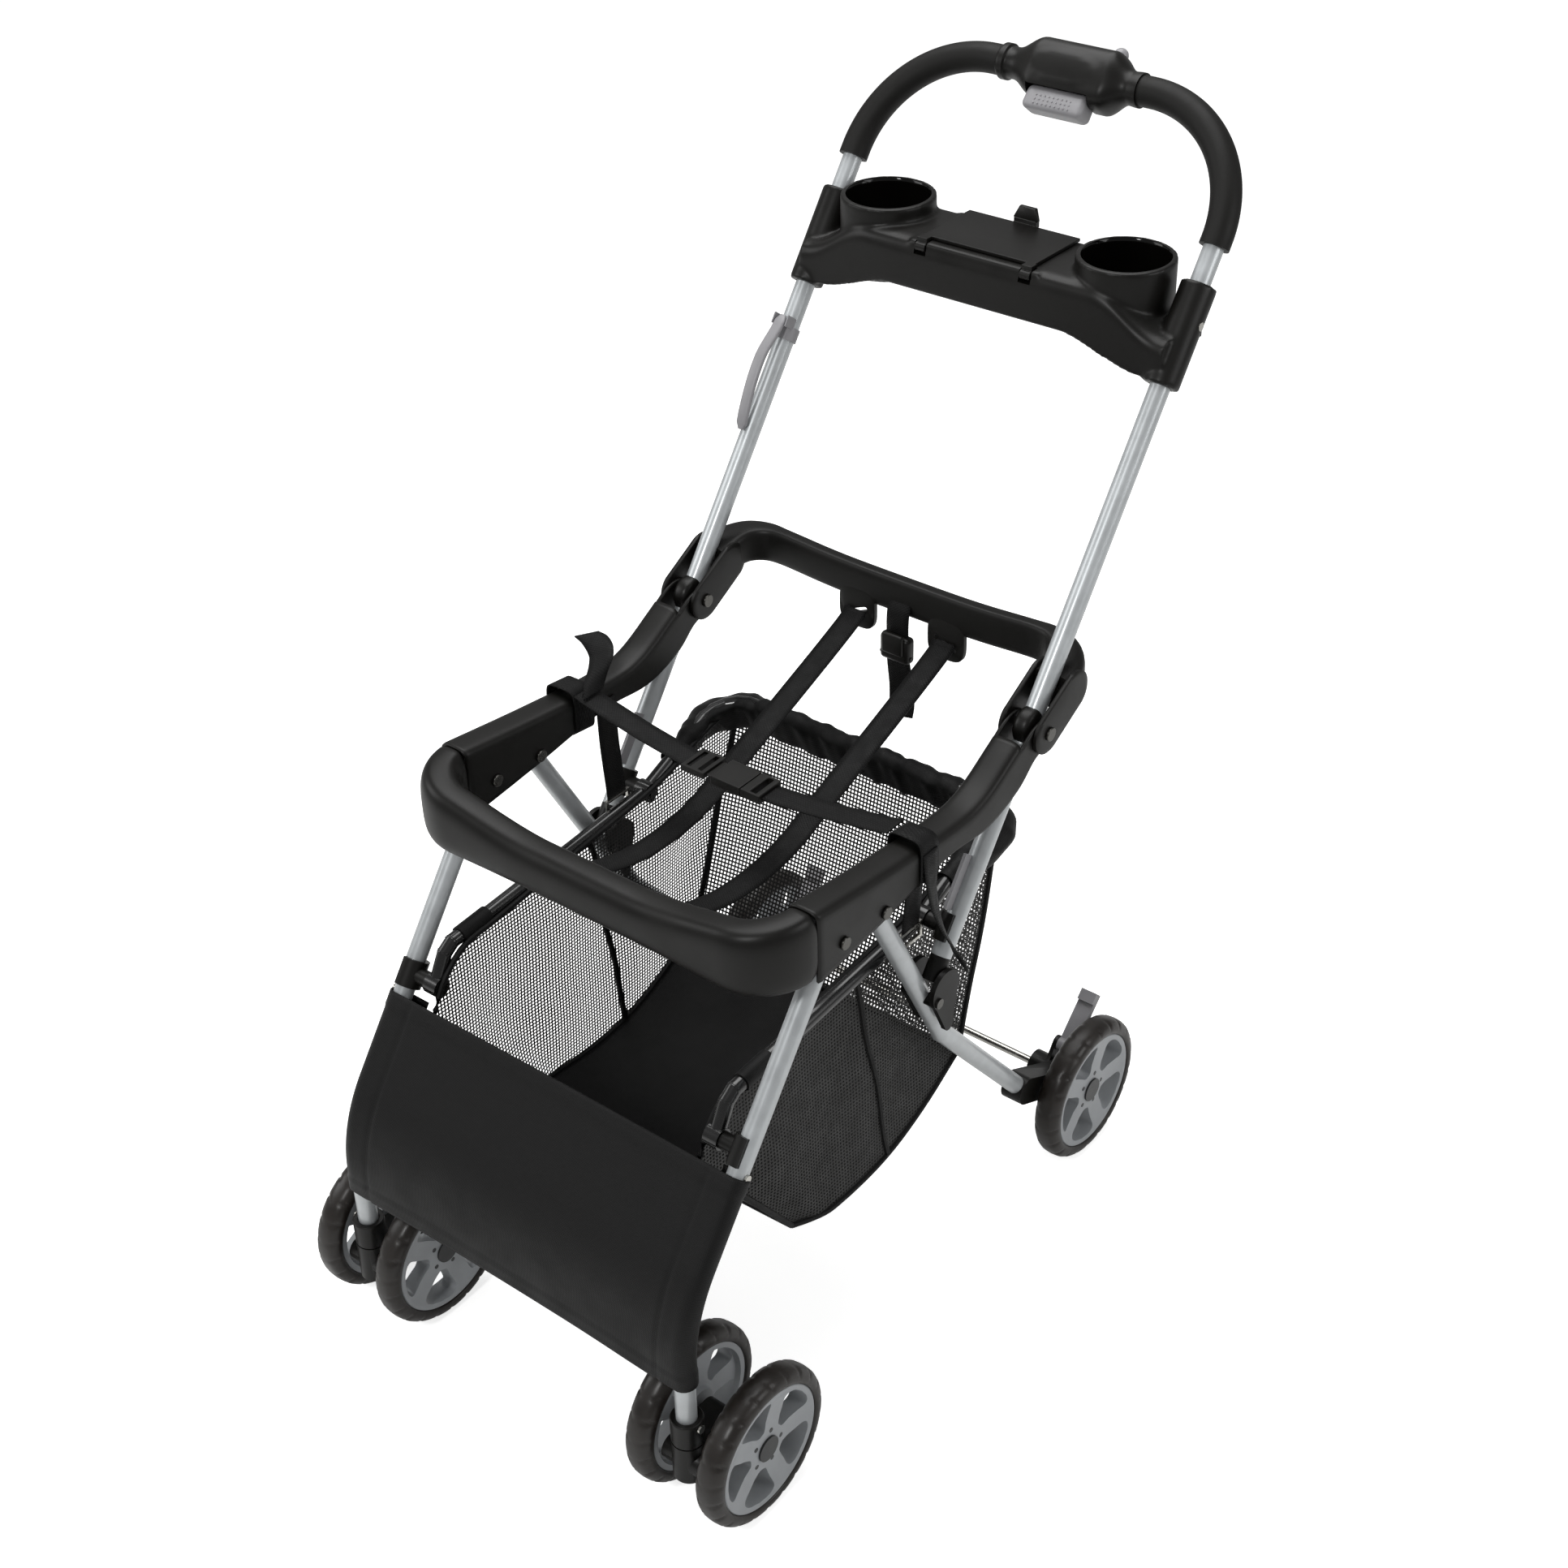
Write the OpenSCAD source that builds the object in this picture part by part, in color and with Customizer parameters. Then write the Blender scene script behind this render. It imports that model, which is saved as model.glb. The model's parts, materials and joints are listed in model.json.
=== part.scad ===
// Folding stroller frame that carries an infant car seat.
// Front is -Y, the pusher stands at +Y, the floor is Z = 0 and all sizes are millimetres.

/* [Tubes] */
// Outer diameter of the handle and leg tubes
tube_d = 19; // [17:0.5:22]
// Wall of the handle and leg tubes
tube_wall = 1.5; // [1:0.1:2.5]
// Distance from the middle to each side's tubes
tube_x = 197; // [190:1:210]
// Backward lean of the handle and of the front legs from the vertical
lean = 36.5; // [34:0.5:39]
// Forward lean of the upper rear legs from the vertical
rear_lean = 28; // [26:0.5:30]
// Outer diameter of the basket frame tube
frame_d = 14; // [12:0.5:15]

/* [Pivots] */
// Height of the handle pivot
handle_pivot_z = 573; // [565:1:585]
// Distance of the handle pivot behind the front leg pivot
handle_pivot_back = 292; // [284:1:300]
// Height of the front leg pivot
front_pivot_z = 521; // [515:1:527]
// Distance of the rear leg pivot behind the front leg pivot
rear_pivot_back = 57; // [54:1:62]
// Drop of the rear leg pivot below the front leg pivot
rear_pivot_drop = 4; // [2:1:7]
// Distance of the basket frame pivots down the front leg and the handle
basket_pivot_down = 193; // [185:1:200]
// Diameter of the pivot bolts
bolt_d = 8; // [6:0.5:9]

/* [Handle] */
// Length of the handle above its pivot, to the middle of the cross tube
handle_l = 565; // [545:1:600]
// Bend radius of the handle corners
handle_bend_r = 112; // [100:1:120]
// Outer diameter of the foam grips
grip_d = 28; // [25:0.5:32]
// Half length of the trigger housing
housing_half_l = 75; // [68:1:80]
// Largest radius of the trigger housing
housing_r = 31; // [29:0.5:34]
// Half depth of the trigger housing
housing_half_d = 24; // [21:0.5:26]
// Width of the trigger
trigger_w = 72; // [60:1:76]
// Travel of the trigger
trigger_travel = 7; // [4:0.5:7]
// Diameter of the thumb button
button_d = 12; // [9:0.5:14]

/* [Parent tray] */
// Distance of each cup from the middle
cup_x = 130; // [125:1:134]
// Inner diameter of the cups
cup_d = 79; // [74:1:80]
// Depth of the cups
cup_depth = 68; // [55:1:72]
// Wall of the cups
cup_wall = 5.5; // [4:0.5:6]
// Distance of the tray's top below the start of the handle's bend, along the tube
tray_below_bend = 40; // [33:1:48]
// Depth of the tray from front to rear
tray_d = 86; // [80:1:90]
// Height of the tray's front wall
tray_h = 45; // [40:1:50]
// Wall of the tray
tray_wall = 4; // [3:0.5:5]
// Width of the lid between the cups
lid_w = 122; // [112:1:124]

/* [Seat ring] */
// Width of the side rails
rail_w = 32; // [30:0.5:36]
// Wall of the side rails
rail_wall = 3; // [2.5:0.5:3.5]
// Height of the side rails at the front
rail_front_h = 70; // [66:1:74]
// Height of the side rails at their waist
rail_waist_h = 28; // [26:1:32]
// Distance of the bar's front face ahead of the front leg pivot
bar_front = 94; // [90:1:100]
// Radius of the pivot ears at the handle pivot
ear_r = 20; // [18:0.5:22]
// Thickness of each pivot ear on the rear rail
ear_t = 5; // [4:0.5:6]
// Distance of the rear rail's back face behind the handle pivot
rear_rail_back = 92; // [88:1:98]
// Height of the rear rail band
rear_rail_h = 36; // [32:1:40]
// Thickness of the rear rail band
rear_rail_t = 16; // [12:1:18]
// Width of the webbing
web_w = 25; // [20:1:28]
// Thickness of the webbing
web_t = 1.6; // [1.2:0.1:2]

/* [Wheels] */
// Diameter of all wheels
wheel_d = 154; // [148:1:158]
// Width of the tyres
tyre_w = 28; // [24:1:29]
// Height of the tyre's section
tyre_h = 14; // [11:0.5:16]
// Diameter of the wheel axles
axle_d = 8; // [7:0.5:10]
// Radius of the hub caps
cap_r = 12.5; // [11:0.5:14]
// Distance of the caster's swivel axis ahead of the front leg pivot
caster_ahead = 207; // [200:1:214]
// Distance of the front axle behind the swivel axis
caster_trail = 48; // [44:1:52]
// Diameter of the caster body
caster_d = 30; // [27:0.5:32]
// Height of the joint between the caster body and its socket
caster_split_z = 100; // [98:1:105]
// Distance of each front wheel from the swivel axis
twin_x = 40; // [38:0.5:43]
// Distance of the rear axle behind the rear leg pivot
rear_axle_back = 348; // [338:1:358]
// Distance of the rear wheels from the middle
rear_wheel_x = 210; // [208:1:216]

/* [Basket] */
// Half width of the basket frame, to the middle of its tube
frame_x = 165; // [160:1:166]
// Rise of the frame above its front pivot
frame_rise = 34; // [30:1:40]
// Distance of the frame's rear bar behind its rear pivot
frame_tail = 122; // [110:1:128]
// Rise of the frame's rear bar above its rear pivot
frame_tail_rise = 50; // [44:1:56]
// Height of the basket floor at the front
floor_front_z = 172; // [166:1:186]
// Height of the basket floor at the rear
floor_rear_z = 214; // [205:1:225]
// Thickness of the basket's cloth
cloth_t = 2; // [1.5:0.1:3]

/* [Hidden] */
$fn = 48;

// Clearances: running fits, static fits and gaps between moving pieces
run_c = 0.05;
fit_c = 0.05;
gap = 0.4;
eps = 0.01;

// Colours of the pieces
black = "#1b1b1d";
satin = "#2a2a2c";
silver = "#b9bdc2";
grey = "#8d9095";

tube_r = tube_d / 2;
frame_r = frame_d / 2;
bolt_r = bolt_d / 2;
axle_r = axle_d / 2;
wheel_r = wheel_d / 2;

// Side view points, as [y, z] before the part is centred
front_pivot = [0, front_pivot_z];
rear_pivot = [rear_pivot_back, front_pivot_z - rear_pivot_drop];
handle_pivot = [handle_pivot_back, handle_pivot_z];
caster_y = -caster_ahead;
front_hub = [caster_y + caster_trail, wheel_r];
rear_hub = [rear_pivot_back + rear_axle_back, wheel_r];
up_tube = [sin(lean), cos(lean)];
out_tube = [cos(lean), -sin(lean)];
basket_front = front_pivot - basket_pivot_down * up_tube;
basket_rear = handle_pivot - basket_pivot_down * up_tube;

// Basket frame's corners, and the rings and clamps on its way
frame_lead = 18;
frame_top_front = basket_front + [frame_lead, frame_rise];
frame_slope = (basket_rear[1] - frame_top_front[1]) / (basket_rear[0] - frame_top_front[0]);
tail = basket_rear + [frame_tail, frame_tail_rise];
tail_corner_r = 40;
clamp_r = tube_r + 4;
clamp_h = 26;
ring_t = 3;
ring_h = 18;
ring_up = 2;

// Height of the frame's side tube at y
function basket_line(y) = frame_top_front[1] + (y - frame_top_front[0]) * frame_slope;

// Middle of the part from front to rear: front tyre to the back of the trigger housing
part_front = front_hub[0] - wheel_r;
part_rear = handle_pivot[0] + handle_l * up_tube[0]
  + sqrt(pow(housing_half_d * out_tube[0] + housing_rise() * up_tube[0], 2));
y_mid = (part_front + part_rear) / 2;

// Height on the housing's back edge where its flat back meets its round body
function housing_rise() = sqrt(housing_r * housing_r - housing_half_d * housing_half_d);

// Distance down the handle from its pivot to where it meets the rear leg
meet_down = (handle_pivot[0] - rear_pivot[0] - tan(rear_lean) * (rear_pivot[1] - handle_pivot[1]))
  / (sin(lean) + tan(rear_lean) * cos(lean));
meet = handle_pivot - meet_down * up_tube;
meet_angle = lean + rear_lean;
plug_gap = 0.8;
plug_end = meet_down - (tube_r + plug_gap) / sin(meet_angle) - tube_r / tan(meet_angle);
plug_show = 24;
tube_end = plug_end - plug_show;

// A point s up the handle from its pivot, as [y, z]
function on_tube(s) = handle_pivot + s * up_tube;

// Places a child in the part's frame
module placed() {
  translate([0, -y_mid, 0]) children();
}

// Draws a child on the right and its mirror image on the left
module both() {
  children();
  mirror([1, 0, 0]) children();
}

// Draws a child on one side: 1 is right, -1 is left
module side(s) {
  if (s > 0) children();
  else mirror([1, 0, 0]) children();
}

// Puts a child at a side view point p and a distance x from the middle
module at(p, x = 0) {
  translate([x, p[0], p[1]]) children();
}

// Handle frame: z runs up the tube from the pivot and y runs out of its back
module on_handle() {
  placed() at(handle_pivot) rotate([-lean, 0, 0]) children();
}

// Front leg frame: z runs up the leg from its pivot
module on_front_leg() {
  placed() at(front_pivot) rotate([-lean, 0, 0]) children();
}

// A round bar along x between x0 and x1
module bar_x(x0, x1, r) {
  translate([x0, 0, 0]) rotate([0, 90, 0]) cylinder(h = x1 - x0, r = r);
}

// A side view outline drawn in [y, z] and drawn out along x between x0 and x1
module slab_x(x0, x1) {
  translate([x0, 0, 0]) rotate([90, 0, 90]) linear_extrude(x1 - x0) children();
}

// A rectangle with round corners, centred
module round_rect(w, h, r) {
  square([w - 2 * r, h], center = true);
  square([w, h - 2 * r], center = true);
  for (sx = [-1, 1], sy = [-1, 1])
    translate([sx * (w / 2 - r), sy * (h / 2 - r)]) circle(r);
}

// Two circles in [y, z] joined by straight sides
module link_2d(a, ra, b, rb) {
  d = b - a;
  n = [-d[1], d[0]] / norm(d);
  translate(a) circle(ra);
  translate(b) circle(rb);
  polygon([a + ra * n, b + rb * n, b - rb * n, a - ra * n]);
}

// A strip of webbing in a side view, along the points, t thick
module strip_2d(pts, t) {
  for (i = [0 : len(pts) - 2])
    link_2d(pts[i], t / 2, pts[i + 1], t / 2);
}

// A bent round bar of radius r that starts up z. Each run is [length, turn, bend radius, pieces], and
// a positive turn bends toward +y. A bend is made of short straight pieces. Children are drawn at its end.
module bent_bar(runs, r) {
  bar_piece(bend_pieces(runs), r, 0) children();
}

bend_lap = 0.6;

function bend_half(run) = run[3] == 0 ? 0 : run[2] * tan(abs(run[1]) / run[3] / 2);
function bend_pieces(runs) = [
  for (i = [0 : len(runs) - 1])
    let (k = max(1, runs[i][3]), h = bend_half(runs[i]), h0 = i > 0 ? bend_half(runs[i - 1]) : 0)
      for (j = [0 : k - 1])
        [j == 0 ? runs[i][0] + h0 + h : 2 * h, runs[i][1] / k]
];

module bar_piece(pieces, r, i) {
  l = pieces[i][0];
  a0 = i > 0 ? pieces[i - 1][1] : 0;
  a1 = i < len(pieces) - 1 ? pieces[i][1] : 0;
  lap0 = a0 == 0 ? 0 : r * tan(abs(a0) / 2) + bend_lap;
  lap1 = a1 == 0 ? 0 : r * tan(abs(a1) / 2) + bend_lap;
  translate([0, 0, -lap0]) cylinder(h = l + lap0 + lap1, r = r);
  translate([0, 0, l])
    if (i < len(pieces) - 1) rotate([-a1, 0, 0]) bar_piece(pieces, r, i + 1) children();
    else children();
}

function heading(d) = atan2(d[1], d[0]);

// Seat ring
bar_mid_r = 42;
bar_t = 36;
bar_front_y = -bar_front;
bar_corner_x = tube_x - bar_mid_r;
rail_top = rail_front_h + front_pivot_z - 22;
rail_bottom = rail_top - rail_front_h;
bar_drop = 22;
seam_y = bar_front_y + bar_t / 2 + bar_mid_r;
wall_in = rail_w / 2 - rail_wall;
waist_y = rear_pivot_back + 100;
waist_z = rear_pivot[1] + 3;
waist_top = waist_z + rail_waist_h;

// Side view outline of a side rail, from the seam back to the handle pivot
module rail_2d() {
  polygon([
    [seam_y, rail_bottom], [seam_y, rail_top],
    [waist_y, waist_top], [waist_y + 36, waist_top + 2], [waist_y + 74, waist_top + 13],
    [handle_pivot[0] - 36, handle_pivot[1] + 4], handle_pivot + [-ear_r + 4, 10],
    handle_pivot + [0, ear_r - 4], handle_pivot + [ear_r - 4, 0], handle_pivot + [2, -ear_r + 4],
    [handle_pivot[0] - 18, handle_pivot[1] - 26], [waist_y + 92, waist_z + 4],
    [waist_y + 50, waist_z - 4], [waist_y, waist_z], [rear_pivot_back - 8, rail_bottom + 8]
  ]);
}

web_end = handle_pivot[0] - 38;

module rail() {
  difference() {
    placed() slab_x(tube_x - rail_w / 2, tube_x + rail_w / 2) rail_2d();
    placed() difference() {
      slab_x(tube_x - wall_in, tube_x + wall_in) {
        translate([0, -rail_wall]) rail_2d();
        translate([0, -rail_front_h]) rail_2d();
        translate([web_end, handle_pivot[1] - 60]) square([100, 120]);
      }
      slab_x(tube_x - wall_in - 1, tube_x + wall_in + 1)
        translate([seam_y - 1, rail_bottom - 100]) square([rail_wall + 1, 200]);
    }
    for (p = [front_pivot, rear_pivot, handle_pivot])
      placed() at(p) bar_x(tube_x - rail_w, tube_x + rail_w, bolt_r + fit_c);
  }
}

module side_rail_right() { color(satin) rail(); }
module side_rail_left() { color(satin) mirror([1, 0, 0]) rail(); }

module bar_section() {
  translate([0, (rail_top + rail_bottom) / 2]) round_rect(bar_t, rail_front_h, 13);
}

// Bumper bar across the front, dipped in the middle
module front_bar() {
  color(black) placed() intersection() {
    union() {
      both() translate([bar_corner_x, seam_y, 0]) rotate([0, 0, -90])
        rotate_extrude(angle = 90) translate([bar_mid_r, 0]) bar_section();
      translate([-bar_corner_x, seam_y - bar_mid_r, 0]) rotate([90, 0, 90])
        linear_extrude(2 * bar_corner_x) bar_section();
    }
    slab_x(-tube_x - bar_t, tube_x + bar_t)
      polygon([
        [bar_front_y - 1, rail_bottom - 1], [bar_front_y - 1, rail_top - bar_drop],
        [seam_y, rail_top], [seam_y, rail_bottom - 1]
      ]);
  }
}

// Rear rail: a band behind the handle tubes on two forked ends
ear_in = rail_w / 2 + fit_c;
ear_out = ear_in + ear_t;
rear_z0 = handle_pivot_z + 8;
rear_y1 = handle_pivot[0] + rear_rail_back;
hoop_outer_r = 40;
hoop_inner_r = 10;
fork_back = 49;
fork_y = handle_pivot[0] + fork_back;
hoop_l = rear_y1 - fork_y;
lug_x = 52;
lug_w = 38;
lug_h = 30;
lug_t = 6;
lug_lap = 4;
lug_slot_drop = 12;
slot_l = web_w + 1;
slot_t = 4;
slot_tilt = 25;
tether_slot_up = 6;

module rear_arm_2d() {
  difference() {
    union() {
      translate(handle_pivot) circle(ear_r);
      polygon([
        handle_pivot + [-6, ear_r - 3], [fork_y, rear_z0 + rear_rail_h], [fork_y + 14, rear_z0 + rear_rail_h],
        [fork_y + 14, rear_z0], [fork_y - 8, rear_z0 - 6], handle_pivot + [6, -ear_r + 2]
      ]);
    }
    translate(handle_pivot) circle(bolt_r + fit_c);
  }
}

// Plan of the rear rail's band, from one fork round the back to the other
module hoop_2d() {
  intersection() {
    translate([0, fork_y]) difference() {
      round_rect(2 * (tube_x + ear_out), 2 * hoop_l, hoop_outer_r);
      round_rect(2 * (tube_x - ear_out), 2 * (hoop_l - rear_rail_t), hoop_inner_r);
    }
    translate([-tube_x - ear_out - 1, fork_y]) square([2 * (tube_x + ear_out + 1), hoop_l + 1]);
  }
}

module rear_rail() {
  color(satin) placed() difference() {
    union() {
      translate([0, 0, rear_z0]) linear_extrude(rear_rail_h) hoop_2d();
      both() {
        for (o = [tube_x + ear_in, tube_x - ear_out])
          slab_x(o, o + ear_t) rear_arm_2d();
        translate([lug_x - lug_w / 2, rear_y1 - rear_rail_t, rear_z0 - lug_h])
          cube([lug_w, lug_t, lug_h + lug_lap]);
      }
    }
    // Slanted webbing slots in the lugs and the tether slot in the middle
    both() translate([lug_x, rear_y1 - rear_rail_t - 1, rear_z0 - lug_slot_drop]) rotate([0, slot_tilt, 0])
      translate([-slot_l / 2, 0, -slot_t / 2]) cube([slot_l, lug_t + 2, slot_t]);
    translate([-slot_l / 2, rear_y1 - rear_rail_t - 1, rear_z0 + tether_slot_up])
      cube([slot_l, rear_rail_t + 2, slot_t + 2]);
  }
}

// Pivot bolts through the rails and the legs, with round heads
module bolt(p, half, head_r) {
  placed() at(p) both() {
    bar_x(tube_x - half - 2, tube_x + half + 2, bolt_r);
    bar_x(tube_x + half + fit_c, tube_x + half + 3, head_r);
    bar_x(tube_x - half - 3, tube_x - half - fit_c, head_r);
  }
}

module ring_bolts() {
  color(silver) {
    bolt(front_pivot, rail_w / 2, bolt_r + 2);
    bolt(rear_pivot, rail_w / 2, bolt_r + 2);
    bolt(handle_pivot, ear_out, bolt_r + 2.5);
  }
}

// Webbing across and along the ring
web_gap = 0.3;
web_seat_up = 22;
web_front = [seam_y - bar_mid_r + bar_t / 2 + web_t / 2 + web_gap, rail_bottom + web_seat_up];
web_rear = [rear_y1 - rear_rail_t - web_t / 2 - web_gap, rear_z0 - lug_slot_drop];

// Points of the harness webs: how far each lies behind or ahead of an end, and how far below it
dive_l = 30;
dive_drop = 22;
sag_l = 95;
sag_drop = 48;
low_l = 170;
low_drop = 50;
climb_l = 230;
climb_drop = 30;
rise_l = 40;
rise_drop = 26;
slot_drop = 2;

module harness_straps() {
  color(black) placed() both() slab_x(lug_x - web_w / 2, lug_x + web_w / 2)
    strip_2d([
      web_front, web_front + [dive_l, -dive_drop], web_front + [sag_l, -sag_drop],
      web_front + [low_l, -low_drop], web_front + [climb_l, -climb_drop],
      web_rear + [-rise_l, -rise_drop], web_rear + [0, -slot_drop]
    ], web_t);
}

belt_y = rear_pivot_back + 60;
belt_z = waist_top + 12;
belt_dip = 26;
buckle_x = 14;
buckle_l = 56;
buckle_w = 32;
buckle_t = 9;
adjuster_l = 26;
web_end_c = 1.4;
left_tail_l = 46;
right_tail_l = 110;
right_tail_lap = 14;

// Loop of webbing round a rail with room for the rail's slope
loop_in = rail_w / 2 + 0.6;
loop_top = belt_z - 4;
loop_bottom = waist_z - 9;

module belt_loop() {
  translate([tube_x, belt_y, (loop_top + loop_bottom) / 2]) rotate([90, 0, 0])
    translate([0, 0, -web_w / 2]) linear_extrude(web_w) difference() {
      square([2 * loop_in + 2 * web_t, loop_top - loop_bottom + 2 * web_t], center = true);
      square([2 * loop_in, loop_top - loop_bottom], center = true);
    }
}

// Flat web from the loop down to the middle, in a front view
module belt_run(x0, x1, z0, z1) {
  translate([0, belt_y + web_w / 2, 0]) rotate([90, 0, 0]) linear_extrude(web_w)
    strip_2d([[x0, z0], [x1, z1]], web_t);
}

loop_x = tube_x - loop_in - web_t;
run_z = loop_top - web_t;
mid_z = belt_z - belt_dip;
tongue_end = buckle_x + buckle_l / 2;
socket_end = buckle_x - buckle_l / 2;
adjuster_x = socket_end - 8 - adjuster_l;

module belt_left() {
  color(black) placed() {
    mirror([1, 0, 0]) belt_loop();
    belt_run(-loop_x, adjuster_x - web_end_c, run_z, mid_z);
    translate([-loop_x - 1, belt_y - web_w / 2, loop_top + web_t]) cube([web_t, web_w, left_tail_l]);
  }
}

module belt_right() {
  color(black) placed() {
    belt_loop();
    belt_run(tongue_end + web_end_c, loop_x, mid_z, run_z);
    translate([tube_x + loop_in + web_t - eps, belt_y - web_w / 2, loop_bottom + right_tail_lap - right_tail_l])
      cube([web_t, web_w, right_tail_l]);
  }
}

module belt_adjuster() {
  color(black) placed() translate([adjuster_x, belt_y - buckle_w / 2, mid_z - 3]) difference() {
    cube([adjuster_l, buckle_w, 6]);
    for (x = [4, adjuster_l - 9])
      translate([x, (buckle_w - web_w - 1) / 2, -1]) cube([5, web_w + 1, 8]);
  }
}

module buckle_socket() {
  color(black) placed() translate([socket_end, belt_y - buckle_w / 2, mid_z - buckle_t / 2]) difference() {
    cube([buckle_l * 0.6, buckle_w, buckle_t]);
    translate([buckle_l * 0.25, 4, 2]) cube([buckle_l, buckle_w - 8, buckle_t - 4]);
  }
  color(black) placed() translate([adjuster_x + adjuster_l + web_gap, belt_y - web_w / 2, mid_z - web_t / 2])
    cube([socket_end - adjuster_x - adjuster_l - 2 * web_gap, web_w, web_t]);
}

module buckle_tongue() {
  color(black) placed() difference() {
    union() {
      translate([buckle_x + buckle_l * 0.1 + gap, belt_y - buckle_w / 2, mid_z - buckle_t / 2])
        cube([buckle_l * 0.4 - gap, buckle_w, buckle_t]);
      translate([socket_end + buckle_l * 0.3, belt_y - buckle_w / 2 + 4 + gap, mid_z - buckle_t / 2 + 2 + gap])
        cube([buckle_l * 0.4, buckle_w - 8 - 2 * gap, buckle_t - 4 - 2 * gap]);
    }
    translate([tongue_end - 12, belt_y - web_w / 2 - 0.5, mid_z - buckle_t])
      cube([6, web_w + 1, 2 * buckle_t]);
  }
}

tether_y = rear_y1 - rear_rail_t - web_t - web_gap;

module tether_strap() {
  color(black) placed() translate([-web_w / 2, 0, 0]) {
    translate([0, tether_y, rear_z0 - 22]) cube([web_w, web_t, 34]);
    translate([0, tether_y, rear_z0 - 104]) cube([web_w, web_t, 64]);
  }
}

module tether_clip() {
  color(black) placed() translate([-16, tether_y - 9, rear_z0 - 40 + eps]) difference() {
    cube([32, 12, 18 - 2 * eps]);
    translate([7, -1, 6]) cube([18, 14, 6]);
  }
}

hanger_y = basket_rear[0] - 31;

strap_low_x = frame_x + frame_r + web_gap + ring_t / 2;
strap_top_x = tube_x - rail_w / 2 - web_gap - web_t / 2;
strap_low_z = basket_line(hanger_y) + ring_up + ring_h / 2 + web_gap + web_t / 2;

module support_straps() {
  color(black) placed() both() translate([0, hanger_y + web_w / 2, 0]) rotate([90, 0, 0]) linear_extrude(web_w)
    strip_2d([
      [strap_top_x, waist_z + 12], [strap_top_x, waist_z - 12], [strap_low_x, strap_low_z]
    ], web_t);
}

// Handle and what it carries
handle_straight = tube_x - handle_bend_r;
bend_s = handle_l - handle_bend_r;

// Half of the handle's bar, from the lower end s0 to the middle, in the handle's frame
module handle_half(s0, r) {
  translate([tube_x, 0, s0]) cylinder(h = bend_s - s0, r = r);
  handle_corner(r);
  translate([0, 0, handle_l]) bar_x(0, handle_straight, r);
}

module handle_corner(r) {
  translate([handle_straight, 0, bend_s]) rotate([90, 0, 0])
    rotate_extrude(angle = 90) translate([handle_bend_r, 0]) circle(r);
}

module handle_tube() {
  color(silver) on_handle() difference() {
    both() handle_half(-tube_end, tube_r);
    both() handle_half(-tube_end - 1, tube_r - tube_wall);
    both() bar_x(tube_x - tube_d, tube_x + tube_d, bolt_r + run_c);
  }
}

grip_below_bend = 7;
grip_end = bend_s - grip_below_bend;
grip_r = grip_d / 2;
grip_c = 0.3;

module grip() {
  on_handle() difference() {
    handle_half(grip_end, grip_r);
    both() handle_half(grip_end - 1, tube_r + fit_c);
    // Room for the trigger housing between the grips
    translate([-1, -grip_d, handle_l - grip_d]) cube([1 + housing_half_l + grip_c, 2 * grip_d, 2 * grip_d]);
  }
}

module grip_right() { color(black) grip(); }
module grip_left() { color(black) mirror([1, 0, 0]) grip(); }

// Round body of the trigger housing, along x
collar_r = grip_r + 2.5;
collar_l = 9;
waist_l = 20;
face_l = 34;

module housing_body() {
  translate([0, 0, handle_l]) rotate([0, 90, 0]) rotate_extrude()
    polygon([
      [0, -housing_half_l], [collar_r, -housing_half_l], [collar_r, -housing_half_l + collar_l],
      [collar_r - 1.5, -housing_half_l + waist_l], [housing_r - 4, -face_l - 10], [housing_r, -face_l + 4],
      [housing_r, face_l - 4], [housing_r - 4, face_l + 10], [collar_r - 1.5, housing_half_l - waist_l],
      [collar_r, housing_half_l - collar_l], [collar_r, housing_half_l], [0, housing_half_l]
    ]);
}

button_x = 41;
button_low = tube_r + 10;
button_top = housing_r + 4;
trigger_t = 18;
trigger_show = 13;
trigger_low = housing_r + trigger_show;
stop_c = 1.5;
trigger_h = trigger_low - tube_r - stop_c - trigger_travel;

module housing_shell(front) {
  on_handle() difference() {
    intersection() {
      housing_body();
      translate([-housing_half_l - 1, front ? -housing_half_d : fit_c, handle_l - 60])
        cube([2 * housing_half_l + 2, housing_half_d - (front ? 0 : fit_c), 120]);
    }
    both() handle_half(bend_s - 1, tube_r + fit_c);
    translate([-trigger_w / 2 - gap, -trigger_t / 2 - gap, handle_l - 60])
      cube([trigger_w + 2 * gap, trigger_t + 2 * gap, 60]);
    translate([button_x, 0, handle_l]) cylinder(h = 60, r = button_d / 2 + gap);
  }
}

module housing_front() { color(black) housing_shell(true); }
module housing_rear() { color(black) housing_shell(false); }

module trigger() {
  color(grey) on_handle() translate([-trigger_w / 2, -trigger_t / 2, handle_l - trigger_low])
    cube([trigger_w, trigger_t, trigger_h]);
}

module thumb_button() {
  color(grey) on_handle() translate([button_x, 0, handle_l + button_low])
    cylinder(h = button_top - button_low, r = button_d / 2);
}

// Parent tray
tray_up = bend_s - tray_below_bend;
tray_top = on_tube(tray_up);
tray_z = tray_top[1];
tray_y0 = tray_top[0] - 66;
cup_y = tray_y0 + 52;
cup_z = tray_z + 16;
cup_r = cup_d / 2;
socket_r = tube_r + 5;
socket_l = 92;
socket_s = tray_up - socket_l;
floor_t = 3;
bin_h = 26;
lid_t = 3.2;
lid_z = tray_z + 0.3;
hinge = [tray_y0 + 4, tray_z - 5];
hinge_x = 57;
hinge_l = 11;
knuckle_r = 4.2;
hinge_pin_r = 2;
lid_back = 8;
cup_out = cup_r + cup_wall;
arm_x0 = lid_w / 2 + 4;

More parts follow.
